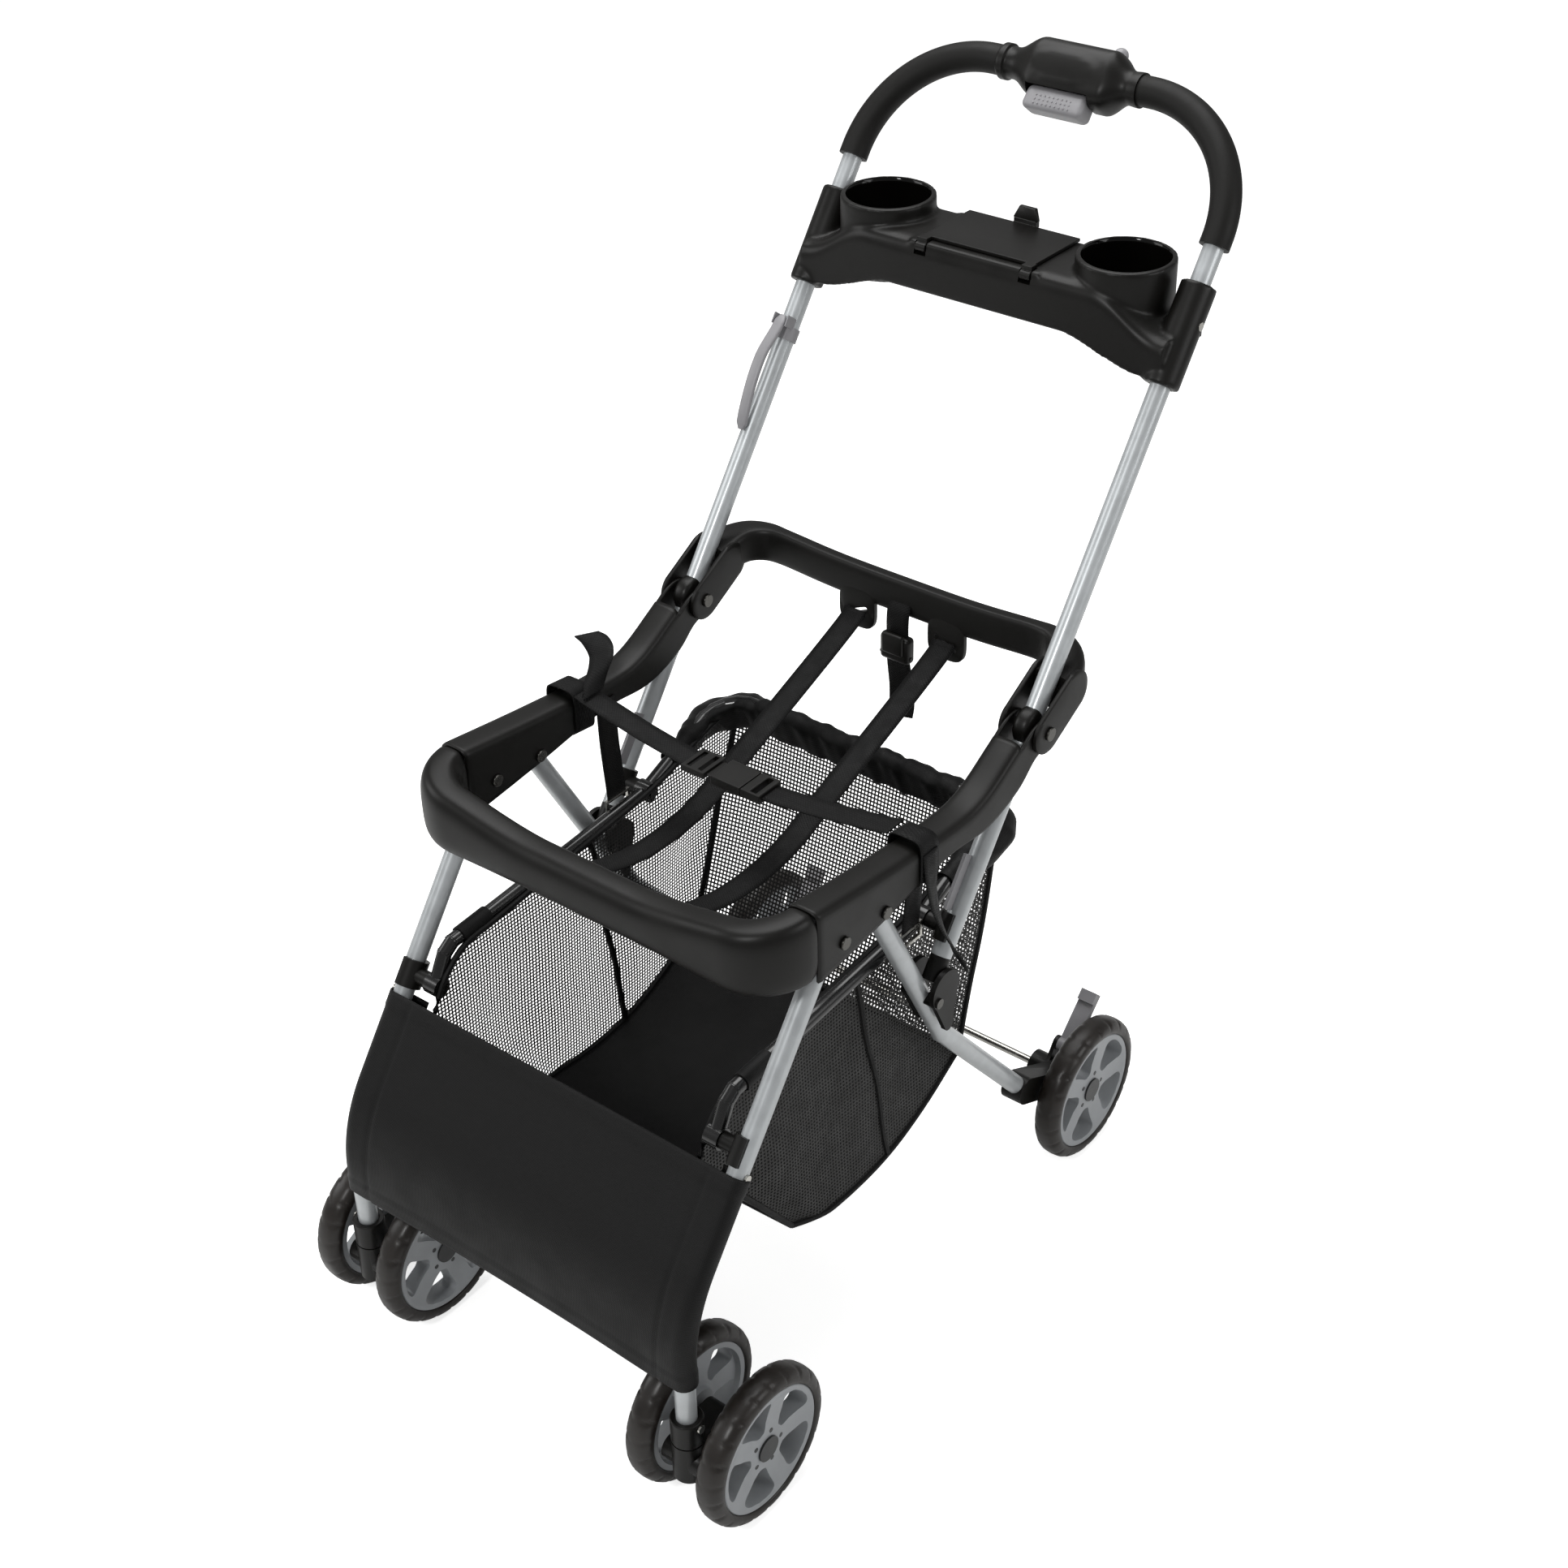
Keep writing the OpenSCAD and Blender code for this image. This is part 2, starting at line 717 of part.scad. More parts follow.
module parent_tray() {
  color(black) difference() {
    union() {
      placed() {
        // Middle bin under the lid, with a deeper front wall
        translate([-arm_x0, tray_y0, tray_z - bin_h]) cube([2 * arm_x0, tray_d, bin_h]);
        translate([-cup_x - 8, tray_y0, tray_z - tray_h]) cube([2 * cup_x + 16, tray_wall, tray_h]);
        both() {
          translate([cup_x, cup_y, cup_z - cup_depth - floor_t]) cylinder(h = cup_depth + floor_t, r = cup_out);
          // Web between the cup and the tube
          slab_x(cup_x + 8, tube_x - 2)
            polygon([
              [tray_y0, tray_z - 12], [tray_y0, tray_z - tray_h],
              on_tube(socket_s) + [-4, 8], on_tube(tray_up) + [4, -6]
            ]);
        }
      }
      on_handle() both() translate([tube_x, 0, socket_s]) cylinder(h = socket_l, r = socket_r);
    }
    // Inside of the bin, the cups and the tube sockets
    placed() {
      translate([-arm_x0 + tray_wall, hinge[0] + lid_back + 2, tray_z - bin_h + floor_t])
        cube([2 * (arm_x0 - tray_wall), tray_y0 + tray_d - tray_wall - hinge[0] - lid_back - 2, bin_h]);
      both() translate([cup_x, cup_y, cup_z - cup_depth]) cylinder(h = cup_depth + 10, r = cup_r);
      // Notches for the lid's hinge knuckles
      both() translate([hinge_x - hinge_l / 2 - gap, tray_y0 - 2, hinge[1] - knuckle_r - 1])
        cube([hinge_l + 2 * gap, knuckle_r + hinge[0] - tray_y0 + 3, knuckle_r + 12]);
      // Clearance above the bin where the lid lies against the cups
      translate([-lid_w / 2 - gap, tray_y0 + tray_wall, tray_z]) cube([lid_w + 2 * gap, tray_d, 40]);
    }
    on_handle() both() translate([tube_x, 0, socket_s - 40]) cylinder(h = socket_l + 80, r = tube_r + fit_c);
  }
  color(black) placed() both() at(hinge)
    bar_x(hinge_x - hinge_l / 2 - gap - 1, hinge_x + hinge_l / 2 + gap + 1, hinge_pin_r);
}

module tray_lid() {
  color(black) placed() difference() {
    union() {
      translate([-lid_w / 2, hinge[0] + lid_back, lid_z])
        cube([lid_w, tray_y0 + tray_d - hinge[0] - lid_back, lid_t]);
      both() at(hinge) bar_x(hinge_x - hinge_l / 2, hinge_x + hinge_l / 2, knuckle_r);
      both() translate([hinge_x - hinge_l / 2, hinge[0], hinge[1]])
        cube([hinge_l, knuckle_r, lid_z + lid_t - hinge[1]]);
      both() translate([hinge_x - hinge_l / 2, hinge[0], lid_z]) cube([hinge_l, lid_back + 1, lid_t]);
      // Finger tab at the rear edge
      translate([-12, tray_y0 + tray_d - eps, lid_z]) cube([24, 7, lid_t + 4]);
    }
    both() at(hinge) bar_x(hinge_x - hinge_l, hinge_x + hinge_l, hinge_pin_r + run_c);
  }
}

// Fold latch on the left tube
latch_below_tray = 45;
latch_s = socket_s - latch_below_tray;
latch_l = 122;
latch_w = 14;
latch_t = 6;
latch_off = tube_r + 6.5;
latch_pin_r = 3;

module fold_latch() {
  color(grey) on_handle() mirror([1, 0, 0]) difference() {
    union() {
      translate([tube_x - latch_w / 2, -latch_off - latch_t / 2, latch_s - latch_l])
        cube([latch_w, latch_t, latch_l]);
      translate([tube_x, -latch_off, latch_s]) bar_x(-latch_w / 2, latch_w / 2, 6);
      // Hooked foot
      translate([tube_x - latch_w / 2, -latch_off - latch_t / 2 - 7, latch_s - latch_l])
        cube([latch_w, 8, 9]);
    }
    translate([tube_x, -latch_off, latch_s]) bar_x(-latch_w, latch_w, latch_pin_r + run_c);
  }
}

// Knuckles at the pivot and plugs in the lower ends of the handle
knuckle_half = wall_in - 0.5;
pivot_knuckle_r = ear_r - 1.5;
latch_ear_t = 3;

module tube_fittings() {
  color(black) on_handle() {
    both() difference() {
      bar_x(tube_x - knuckle_half, tube_x + knuckle_half, pivot_knuckle_r);
      translate([tube_x, 0, -50]) cylinder(h = 100, r = tube_r + fit_c);
      bar_x(tube_x - 40, tube_x + 40, bolt_r + run_c);
    }
    both() translate([tube_x, 0, -plug_end]) {
      cylinder(h = plug_show - fit_c, r = tube_r);
      cylinder(h = plug_show + 40, r = tube_r - tube_wall - fit_c);
    }
    // Saddle that carries the latch on the left tube
    mirror([1, 0, 0]) difference() {
      union() {
        translate([tube_x, 0, latch_s - 13]) cylinder(h = 26, r = tube_r + 3);
        for (o = [latch_w / 2 + gap, -latch_w / 2 - gap - latch_ear_t])
          translate([tube_x + o, -latch_off - 5, latch_s - 6]) cube([latch_ear_t, latch_off + 5, 12]);
        translate([tube_x, -latch_off, latch_s])
          bar_x(-latch_w / 2 - gap - 1, latch_w / 2 + gap + 1, latch_pin_r);
      }
      translate([tube_x, 0, latch_s - 40]) cylinder(h = 80, r = tube_r + fit_c);
      translate([tube_x - latch_w / 2 - gap, -latch_off - 7, latch_s - 13 - eps])
        difference() {
          cube([latch_w + 2 * gap, 14, 26 + 2 * eps]);
          translate([-20, 7, 13]) bar_x(0, 60, latch_pin_r);
        }
    }
  }
}

// Rivets with round heads, standing out of the back of the tubes
rivet_r = 4;
rivet_t = 2;

module tube_rivet(s) {
  translate([tube_x, 0, s]) rotate([-90, 0, 0]) translate([0, 0, tube_r - 0.7]) difference() {
    cylinder(h = rivet_t + 0.7, r = rivet_r);
    translate([0, 0, -tube_r + 0.7]) rotate([90, 0, 0]) cylinder(h = 40, r = tube_r + fit_c, center = true);
  }
}

module handle_rivets() {
  color(silver) on_handle() {
    both() {
      tube_rivet(-tube_end + 6);
      tube_rivet(-tube_end + 66);
      // Tray screws in the sockets
      translate([tube_x + socket_r + fit_c, 0, tray_up - 36]) bar_x(0, 2, 4);
    }
  }
}

// Grey guide plates on the inner front of the lower tubes
guide_l = 52;
guide_s = -basket_pivot_down + clamp_h / 2 + 3;

module lock_guides() {
  color(grey) on_handle() both() difference() {
    translate([tube_x - 5, -tube_r - 11, guide_s]) cube([3, 14, guide_l]);
    translate([tube_x, 0, guide_s - 10]) cylinder(h = guide_l + 20, r = tube_r + fit_c);
  }
}

// Hangers on the lower tubes that carry the basket frame's rear pivots
pin_r = 4;
open_pin_c = 0.8;
boss_r = 10;
boss_half = frame_r + 0.4;

module pivot_clamp() {
  difference() {
    union() {
      // Saddle round the inner half of the tube
      intersection() {
        translate([tube_x, 0, -basket_pivot_down - clamp_h / 2]) cylinder(h = clamp_h, r = clamp_r);
        translate([0, -50, -basket_pivot_down - 50]) cube([tube_x + 4, 100, 100]);
      }
      translate([0, 0, -basket_pivot_down]) bar_x(frame_x + boss_half + gap, tube_x, 8);
      translate([0, 0, -basket_pivot_down]) bar_x(frame_x - boss_half - 3, tube_x, pin_r);
    }
    translate([tube_x, 0, -basket_pivot_down - clamp_h]) cylinder(h = 2 * clamp_h, r = tube_r + fit_c);
  }
}

module frame_hangers() { color(black) on_handle() both() pivot_clamp(); }
module front_brackets() { color(black) on_front_leg() both() pivot_clamp(); }

// Front legs with the casters
leg_bend_r = 150;
leg_corner = caster_ahead / sin(lean);
leg_run = leg_corner - leg_bend_r * tan(lean / 2);
leg_corner_z = front_pivot_z - caster_ahead / tan(lean);
leg_bend_z = leg_corner_z - leg_bend_r * tan(lean / 2);
leg_end_z = caster_split_z + 16;
leg_top = 12;

// Front leg as a bar of radius r: the straight run, the bend and the upright end
module front_leg_bar(r, top, end_z) {
  at(front_pivot, tube_x) rotate([180 - lean, 0, 0]) translate([0, 0, -top])
    bent_bar([[leg_run + top, -lean, leg_bend_r, 2], [leg_bend_z - end_z, 0, 0, 0]], r);
}

module front_leg() {
  placed() difference() {
    front_leg_bar(tube_r, leg_top, leg_end_z);
    // Bores of the two straight runs
    at(front_pivot, tube_x) rotate([180 - lean, 0, 0]) translate([0, 0, -leg_top - 1])
      cylinder(h = leg_top + leg_run, r = tube_r - tube_wall);
    translate([tube_x, caster_y, leg_end_z - 1])
      cylinder(h = leg_bend_z - leg_end_z, r = tube_r - tube_wall);
    at(front_pivot) bar_x(tube_x - tube_d, tube_x + tube_d, bolt_r + run_c);
  }
}

module front_leg_right() { color(silver) front_leg(); }
module front_leg_left() { color(silver) mirror([1, 0, 0]) front_leg(); }

// Cloth panel stretched between the front legs
panel_top_run = 222;
panel_bottom_z = leg_bend_z - 32;
sleeve_r = tube_r + 2;

// Sleeve round a leg as a bar of radius r, from the panel's top to its bottom
module panel_part(r, extra) {
  at(front_pivot, tube_x) rotate([180 - lean, 0, 0]) translate([0, 0, panel_top_run - extra])
    bent_bar([
      [leg_run - panel_top_run + extra, -lean, leg_bend_r, 2],
      [leg_bend_z - panel_bottom_z + extra, 0, 0, 0]
    ], r);
}

bend_c = [caster_y + leg_bend_r, leg_bend_z];
panel_steps = 10;

// Side view line of the cloth at a distance o ahead of the leg
function panel_line(o) = concat(
  [front_pivot - panel_top_run * up_tube - o * out_tube],
  [for (i = [0 : panel_steps])
    let (a = 180 - lean * (1 - i / panel_steps)) bend_c + (leg_bend_r + o) * [cos(a), sin(a)]],
  [[caster_y - o, panel_bottom_z]]
);
function reversed(l) = [for (i = [len(l) - 1 : -1 : 0]) l[i]];

module front_panel() {
  color(black) placed() {
    both() difference() {
      panel_part(sleeve_r, 0);
      panel_part(tube_r + 0.3, 5);
    }
    // Flat cloth ahead of the legs
    slab_x(-tube_x, tube_x)
      polygon(concat(panel_line(sleeve_r + 0.8), reversed(panel_line(sleeve_r + 0.8 + cloth_t))));
  }
}

// Sockets on the legs' ends
module caster_sockets() {
  color(black) placed() both() translate([tube_x, caster_y, 0]) difference() {
    translate([0, 0, caster_split_z + gap]) cylinder(h = 28, r = caster_d / 2);
    translate([0, 0, leg_end_z]) cylinder(h = 60, r = tube_r + fit_c);
    translate([0, 0, caster_split_z - 1]) cylinder(h = 16, r = swivel_r + run_c);
  }
}

swivel_r = 5;
leg_rivet_down = 20;
socket_rivet_up = 22;

module front_rivets() {
  color(silver) {
    on_front_leg() both() translate([tube_x + tube_r + fit_c, 0, -basket_pivot_down - leg_rivet_down])
      bar_x(0, rivet_t, rivet_r);
    placed() both() translate([tube_x + caster_d / 2 + fit_c, caster_y, caster_split_z + socket_rivet_up])
      bar_x(0, rivet_t, rivet_r);
  }
}

// Caster bodies that swivel under the sockets and carry the twin wheels
caster_low = 58;
arm_h = 26;
arm_w = 2 * (twin_x - tyre_w / 2) - 8;

module caster() {
  placed() translate([tube_x, caster_y, 0]) difference() {
    union() {
      translate([0, 0, caster_low]) cylinder(h = caster_split_z - caster_low, r = caster_d / 2);
      translate([0, 0, caster_split_z - eps]) cylinder(h = 13, r = swivel_r);
      slab_x(-arm_w / 2, arm_w / 2)
        link_2d([0, wheel_r], arm_h / 2 - 1, [caster_trail, wheel_r], arm_h / 2);
    }
    translate([0, caster_trail, wheel_r]) bar_x(-40, 40, axle_r + fit_c);
  }
  placed() translate([tube_x, caster_y + caster_trail, wheel_r])
    bar_x(-twin_x - axle_out, twin_x + axle_out, axle_r);
}

module caster_right() { color(black) caster(); }
module caster_left() { color(black) mirror([1, 0, 0]) caster(); }

// Wheels spin about x; the face of each wheel points to +x
rim_r = wheel_r - tyre_h;
barrel_t = 6;
hub_r = 19;
hub_half = tyre_w / 2 - 1;
cap_t = 5;
axle_out = hub_half - 2 - gap;
spoke_n = 5;
spoke_w = 26;
disc_t = 9;
tyre_round = 7;

module tyre() {
  rotate([0, 90, 0]) rotate_extrude($fn = 96)
    intersection() {
      translate([wheel_r - 20, 0]) round_rect(40, tyre_w, tyre_round);
      translate([rim_r + fit_c, -tyre_w]) square([40, 2 * tyre_w]);
    }
}

// One window between two spokes, in the wheel's plane
module window_2d() {
  a = 180 / spoke_n;
  difference() {
    intersection() {
      difference() {
        circle(rim_r - barrel_t - 1.5);
        circle(hub_r + 6);
      }
      polygon([[0, 0], 100 * [cos(-a), sin(-a)], [120, 0], 100 * [cos(a), sin(a)]]);
    }
    for (s = [-1, 1])
      rotate(s * a) translate([0, -spoke_w / 2]) square([100, spoke_w]);
  }
}

module rim() {
  rotate([0, 90, 0]) difference() {
    union() {
      // Barrel, hub and spoked disc near the outer face
      rotate_extrude($fn = 96) translate([rim_r - barrel_t, -tyre_w / 2 + 1.5]) square([barrel_t, tyre_w - 3]);
      translate([0, 0, -hub_half]) cylinder(h = 2 * hub_half, r = hub_r);
      translate([0, 0, tyre_w / 2 - 1.5 - disc_t - 1]) linear_extrude(disc_t) difference() {
        circle(rim_r - barrel_t / 2, $fn = 96);
        for (i = [0 : spoke_n - 1])
          rotate(i * 360 / spoke_n) window_2d();
      }
    }
    translate([0, 0, -tyre_w]) cylinder(h = 2 * tyre_w, r = axle_r + run_c);
    // Seat of the hub cap
    translate([0, 0, hub_half - cap_t]) cylinder(h = 10, r = cap_r + fit_c);
  }
}

module hub_cap() {
  translate([hub_half - cap_t + fit_c, 0, 0]) difference() {
    bar_x(0, cap_t, cap_r);
    bar_x(-1, cap_t - 2, axle_r + run_c);
  }
}

module wheel_at(x, hub, face) {
  placed() at(hub, x) rotate([0, 0, face > 0 ? 0 : 180]) children();
}

front_wheel_x = [tube_x + twin_x, tube_x - twin_x, -tube_x + twin_x, -tube_x - twin_x];

module front_tyre(i) { color(black) wheel_at(front_wheel_x[i], front_hub, i % 2 == 0 ? 1 : -1) tyre(); }
module front_rim(i) {
  wheel_at(front_wheel_x[i], front_hub, i % 2 == 0 ? 1 : -1) {
    color(grey) rim();
    color(black) hub_cap();
  }
}
module front_tyre_1() { front_tyre(0); }
module front_tyre_2() { front_tyre(1); }
module front_tyre_3() { front_tyre(2); }
module front_tyre_4() { front_tyre(3); }
module front_rim_1() { front_rim(0); }
module front_rim_2() { front_rim(1); }
module front_rim_3() { front_rim(2); }
module front_rim_4() { front_rim(3); }

module rear_tyre(s) { color(black) wheel_at(s * rear_wheel_x, rear_hub, s) tyre(); }
module rear_rim(s) {
  wheel_at(s * rear_wheel_x, rear_hub, s) {
    color(grey) rim();
    color(black) hub_cap();
  }
}
module rear_tyre_right() { rear_tyre(1); }
module rear_tyre_left() { rear_tyre(-1); }
module rear_rim_right() { rear_rim(1); }
module rear_rim_left() { rear_rim(-1); }

// Rear legs: an upper run, a bend and a lower run that toe in toward the axle
leg_toe_in = 14;
knee_drop = 222;
foot_ahead = 86;
foot_up = 47;
leg_foot = rear_hub + [-foot_ahead, foot_up];
knee = rear_pivot + knee_drop * [tan(rear_lean), -1];
foot_dir = leg_foot - knee;
foot_lean = atan2(foot_dir[0], -foot_dir[1]);
knee_turn = foot_lean - rear_lean;
knee_r = 140;
knee_cut = knee_r * tan(knee_turn / 2);
upper_run = knee_drop / cos(rear_lean) - knee_cut;
lower_run = norm(foot_dir) - knee_cut;
toe = atan(leg_toe_in / (rear_pivot[1] - leg_foot[1]));
rear_leg_top = 12;

// Local frame of a rear leg: z runs down the upper leg from its pivot
module on_rear_leg() {
  at(rear_pivot, tube_x) rotate([0, toe, 0]) rotate([180 + rear_lean, 0, 0]) children();
}

module rear_leg_bar(r, top, extra) {
  on_rear_leg() translate([0, 0, -top])
    bent_bar([[upper_run + top, -knee_turn, knee_r, 1], [lower_run + extra, 0, 0, 0]], r);
}

// The lower straight run alone
module rear_leg_foot(r, extra) {
  on_rear_leg() translate([0, -knee_r * (1 - cos(knee_turn)), upper_run + knee_r * sin(knee_turn)])
    rotate([knee_turn, 0, 0]) cylinder(h = lower_run + extra, r = r);
}

// The upper straight run alone
module rear_leg_head(r) {
  on_rear_leg() cylinder(h = upper_run, r = r);
}

module rear_leg() {
  placed() difference() {
    rear_leg_bar(tube_r, rear_leg_top, 0);
    rear_leg_bar(tube_r - tube_wall, rear_leg_top + 1, 1);
    at(rear_pivot) bar_x(tube_x - tube_d, tube_x + tube_d, bolt_r + run_c);
    at(meet) bar_x(tube_x - 60, tube_x + 60, screw_r + fit_c);
  }
}

screw_r = 3;

module rear_leg_right() { color(silver) rear_leg(); }
module rear_leg_left() { color(silver) mirror([1, 0, 0]) rear_leg(); }

// Axle across the rear, through both brackets and wheels
module rear_axle() {
  color(silver) placed() at(rear_hub) bar_x(-rear_wheel_x - axle_out, rear_wheel_x + axle_out, axle_r);
}

// Brackets between the legs' ends and the axle, with the brake pivots
bracket_l = 44;
bracket_out = rear_wheel_x - tyre_w / 2 - 3;
bracket_in = bracket_out - bracket_l;
barrel_r = 15;
brake_back = 14;
brake_up = 27;
brake_pivot = rear_hub + [brake_back, brake_up];
brake_pin_r = 3;
brake_w = 18;
brake_inset = 5;
brake_ear_t = 4;
brake_in = bracket_out - brake_inset - brake_w;
foot_x = tube_x - leg_toe_in;
foot_half = tube_r + 2;

module rear_brackets() {
  color(black) placed() both() difference() {
    union() {
      at(rear_hub) bar_x(bracket_in, bracket_out, barrel_r);
      slab_x(foot_x - foot_half, foot_x + foot_half)
        link_2d(rear_hub, barrel_r - 2, leg_foot + [4, -5], barrel_r - 0.5);
      for (x = [brake_in - gap - brake_ear_t, brake_in + brake_w + gap])
        slab_x(x, x + brake_ear_t) link_2d(rear_hub, barrel_r - 3, brake_pivot, 8);
      at(brake_pivot) bar_x(brake_in - 3, brake_in + brake_w + 3, brake_pin_r);
    }
    at(rear_hub) bar_x(100, 260, axle_r + fit_c);
    rear_leg_foot(tube_r + fit_c, 0.3);
  }
}

// Foot pedals of the parking brake
pedal_l = 62;
pedal_up = 45;
pedal_t = 7;
pedal_lip_l = 12;
pedal_lip_h = 4;

module brake_pedal() {
  placed() at(brake_pivot) difference() {
    union() {
      bar_x(brake_in, brake_in + brake_w, 7.5);
      rotate([pedal_up, 0, 0]) translate([brake_in, 0, -pedal_t / 2]) cube([brake_w, pedal_l, pedal_t]);
      rotate([pedal_up, 0, 0]) translate([brake_in, pedal_l - pedal_lip_l, -pedal_t / 2])
        cube([brake_w, pedal_lip_l, pedal_t + pedal_lip_h]);
    }
    bar_x(brake_in - 10, brake_in + brake_w + 10, brake_pin_r + run_c);
  }
}

module brake_pedal_right() { color(grey) brake_pedal(); }
module brake_pedal_left() { color(grey) mirror([1, 0, 0]) brake_pedal(); }

// Catches on the rear legs that hold the handle's lower ends between two plates
catch_t = 5;
meet_x = tube_x - tan(toe) * (rear_pivot[1] - meet[1]);
catch_out = tube_x + tube_r + 0.5;
catch_in = meet_x - tube_r - 0.8 - catch_t;
catch_r = 20;

module catch_2d() {
  difference() {
    link_2d(meet + [12, 7], catch_r, meet + [17, -36], 6);
    translate(meet) circle(screw_r + fit_c);
  }
}

module leg_catches() {
  color(satin) placed() both() {
    slab_x(catch_out, catch_out + catch_t) catch_2d();
    difference() {
      slab_x(catch_in, catch_in + catch_t) catch_2d();
      rear_leg_head(tube_r + 0.3);
    }
    // Spacer between the leg and the outer plate
    difference() {
      at(meet) bar_x(meet_x, catch_out + eps, 6);
      rear_leg_head(tube_r + fit_c);
      at(meet) bar_x(0, 300, screw_r + fit_c);
    }
  }
}

module rear_screws() {
  color(silver) placed() both() {
    at(meet) bar_x(catch_in - 1, catch_out + catch_t + 1, screw_r);
    at(meet) bar_x(catch_out + catch_t + fit_c, catch_out + catch_t + 2, 5);
    at(meet) bar_x(catch_in - 2, catch_in - fit_c, 5);
  }
}

// Basket frame: a tube on each side and a bar across the rear
frame_bend_r = 24;
head_0 = heading(frame_top_front - basket_front);
head_1 = heading(basket_rear - frame_top_front);
head_2 = heading(tail - basket_rear);
cut_1 = frame_bend_r * tan(abs(head_1 - head_0) / 2);
cut_2 = frame_bend_r * tan(abs(head_2 - head_1) / 2);
frame_runs = [
  [norm(frame_top_front - basket_front) - cut_1, head_0 - head_1, frame_bend_r, 2],
  [norm(basket_rear - frame_top_front) - cut_1 - cut_2, head_1 - head_2, frame_bend_r, 1],
  [norm(tail - basket_rear) - cut_2 - tail_corner_r, 0, 0, 0]
];

// Half of the frame: the side tube, the rear corner and half of the rear bar
module frame_half() {
  at(basket_front, frame_x) rotate([head_0 - 90, 0, 0]) bent_bar(frame_runs, frame_r)
    rotate([0, 0, 90]) translate([0, 0, -0.5])
      bent_bar([[0.5, 90, tail_corner_r, 5], [frame_x - tail_corner_r, 0, 0, 0]], frame_r);
}

module basket_frame() {
  color(black) placed() difference() {
    both() {
      frame_half();
      for (p = [basket_front, basket_rear])
        at(p) bar_x(frame_x - boss_half, frame_x + boss_half, boss_r);
    }
    both() at(basket_front) bar_x(frame_x - 20, frame_x + 30, pin_r + run_c);
    both() at(basket_rear) bar_x(frame_x - 20, frame_x + 30, pin_r + open_pin_c);
  }
}

// Cloth basket that hangs inside the frame, open at the top
basket_x = frame_x - boss_half - 4.4;
nose_back = 24;
nose_up = 6;
floor_ahead = 10;
floor_back = 40;
rim_drop = 9;
rim_in = 8;
tail_gap = 3;
tail_drop = 10;
dip_back = 20;
mouth_up = 60;
basket_nose = basket_front + [nose_back, nose_up];
floor_front = [front_pivot[0] - floor_ahead, floor_front_z];
floor_rear = [basket_rear[0] + floor_back, floor_rear_z];

module basket_2d() {
  polygon([
    frame_top_front + [rim_in, -rim_drop], basket_nose, floor_front, floor_rear,
    tail + [-frame_r - tail_gap, -frame_r - tail_drop], basket_rear + [dip_back, 2]
  ]);
}

module basket() {
  color(black) placed() difference() {
    slab_x(-basket_x, basket_x) basket_2d();
    slab_x(-basket_x + cloth_t, basket_x - cloth_t)
      polygon([
        frame_top_front + [rim_in + cloth_t, mouth_up], basket_nose + [cloth_t + 1, 0],
        floor_front + [cloth_t, cloth_t], floor_rear + [-cloth_t, cloth_t],
        tail + [-frame_r - tail_gap - cloth_t, mouth_up]
      ]);
  }
}

// Rings that join the support straps to the frame
module strap_rings() {
  color(silver) placed() both()
    translate([frame_x + frame_r + web_gap, hanger_y, basket_line(hanger_y) + ring_up]) rotate([90, 0, 90])
      linear_extrude(ring_t) difference() {
        square([web_w + 8, ring_h], center = true);
        square([web_w + 2, ring_h - 6], center = true);
      }
}

front_bar();
side_rail_left();
side_rail_right();
rear_rail();
ring_bolts();
harness_straps();
belt_left();
belt_right();
belt_adjuster();
buckle_socket();
buckle_tongue();
tether_strap();
tether_clip();
support_straps();
handle_tube();
grip_left();
grip_right();
housing_front();
housing_rear();
trigger();
thumb_button();
parent_tray();
tray_lid();
fold_latch();
tube_fittings();
handle_rivets();
lock_guides();
frame_hangers();
front_leg_left();
front_leg_right();
front_panel();
caster_sockets();
front_rivets();
front_brackets();
caster_left();
caster_right();
front_tyre_1();
front_tyre_2();
front_tyre_3();
front_tyre_4();
front_rim_1();
front_rim_2();
front_rim_3();
front_rim_4();
rear_tyre_left();
rear_tyre_right();
rear_rim_left();
rear_rim_right();
rear_leg_left();
rear_leg_right();
rear_axle();
rear_brackets();
brake_pedal_left();
brake_pedal_right();
leg_catches();
rear_screws();
basket_frame();
basket();
strap_rings();
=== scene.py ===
"""Looks of a folding stroller frame that carries a car seat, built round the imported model."""

import json
import math

import bmesh
import bpy
from mathutils import Matrix, Vector


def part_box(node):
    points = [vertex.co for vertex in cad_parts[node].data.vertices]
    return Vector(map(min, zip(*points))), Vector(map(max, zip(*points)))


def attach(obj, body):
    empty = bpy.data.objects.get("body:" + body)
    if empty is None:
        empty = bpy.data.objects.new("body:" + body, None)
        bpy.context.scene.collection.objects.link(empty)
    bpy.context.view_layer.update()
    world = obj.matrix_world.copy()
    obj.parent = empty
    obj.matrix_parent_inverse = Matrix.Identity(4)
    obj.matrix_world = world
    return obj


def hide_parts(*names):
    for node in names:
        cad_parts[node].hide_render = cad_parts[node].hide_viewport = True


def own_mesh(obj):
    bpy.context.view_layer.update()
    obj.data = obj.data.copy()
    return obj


bl_info = {
    "name": "Stroller frame looks",
    "version": (1, 0, 0),
    "blender": (4, 5, 0),
    "location": "3D View > Sidebar > Stroller",
    "description": "Models and finishes the pieces of a folding car seat stroller frame",
    "category": "Object",
}

MM = 0.001
SIDES = {"left": -1, "right": 1}
UP = Vector((0, 0, 1))
ACROSS = Vector((1, 0, 0))
BACK = Vector((0, 1, 0))

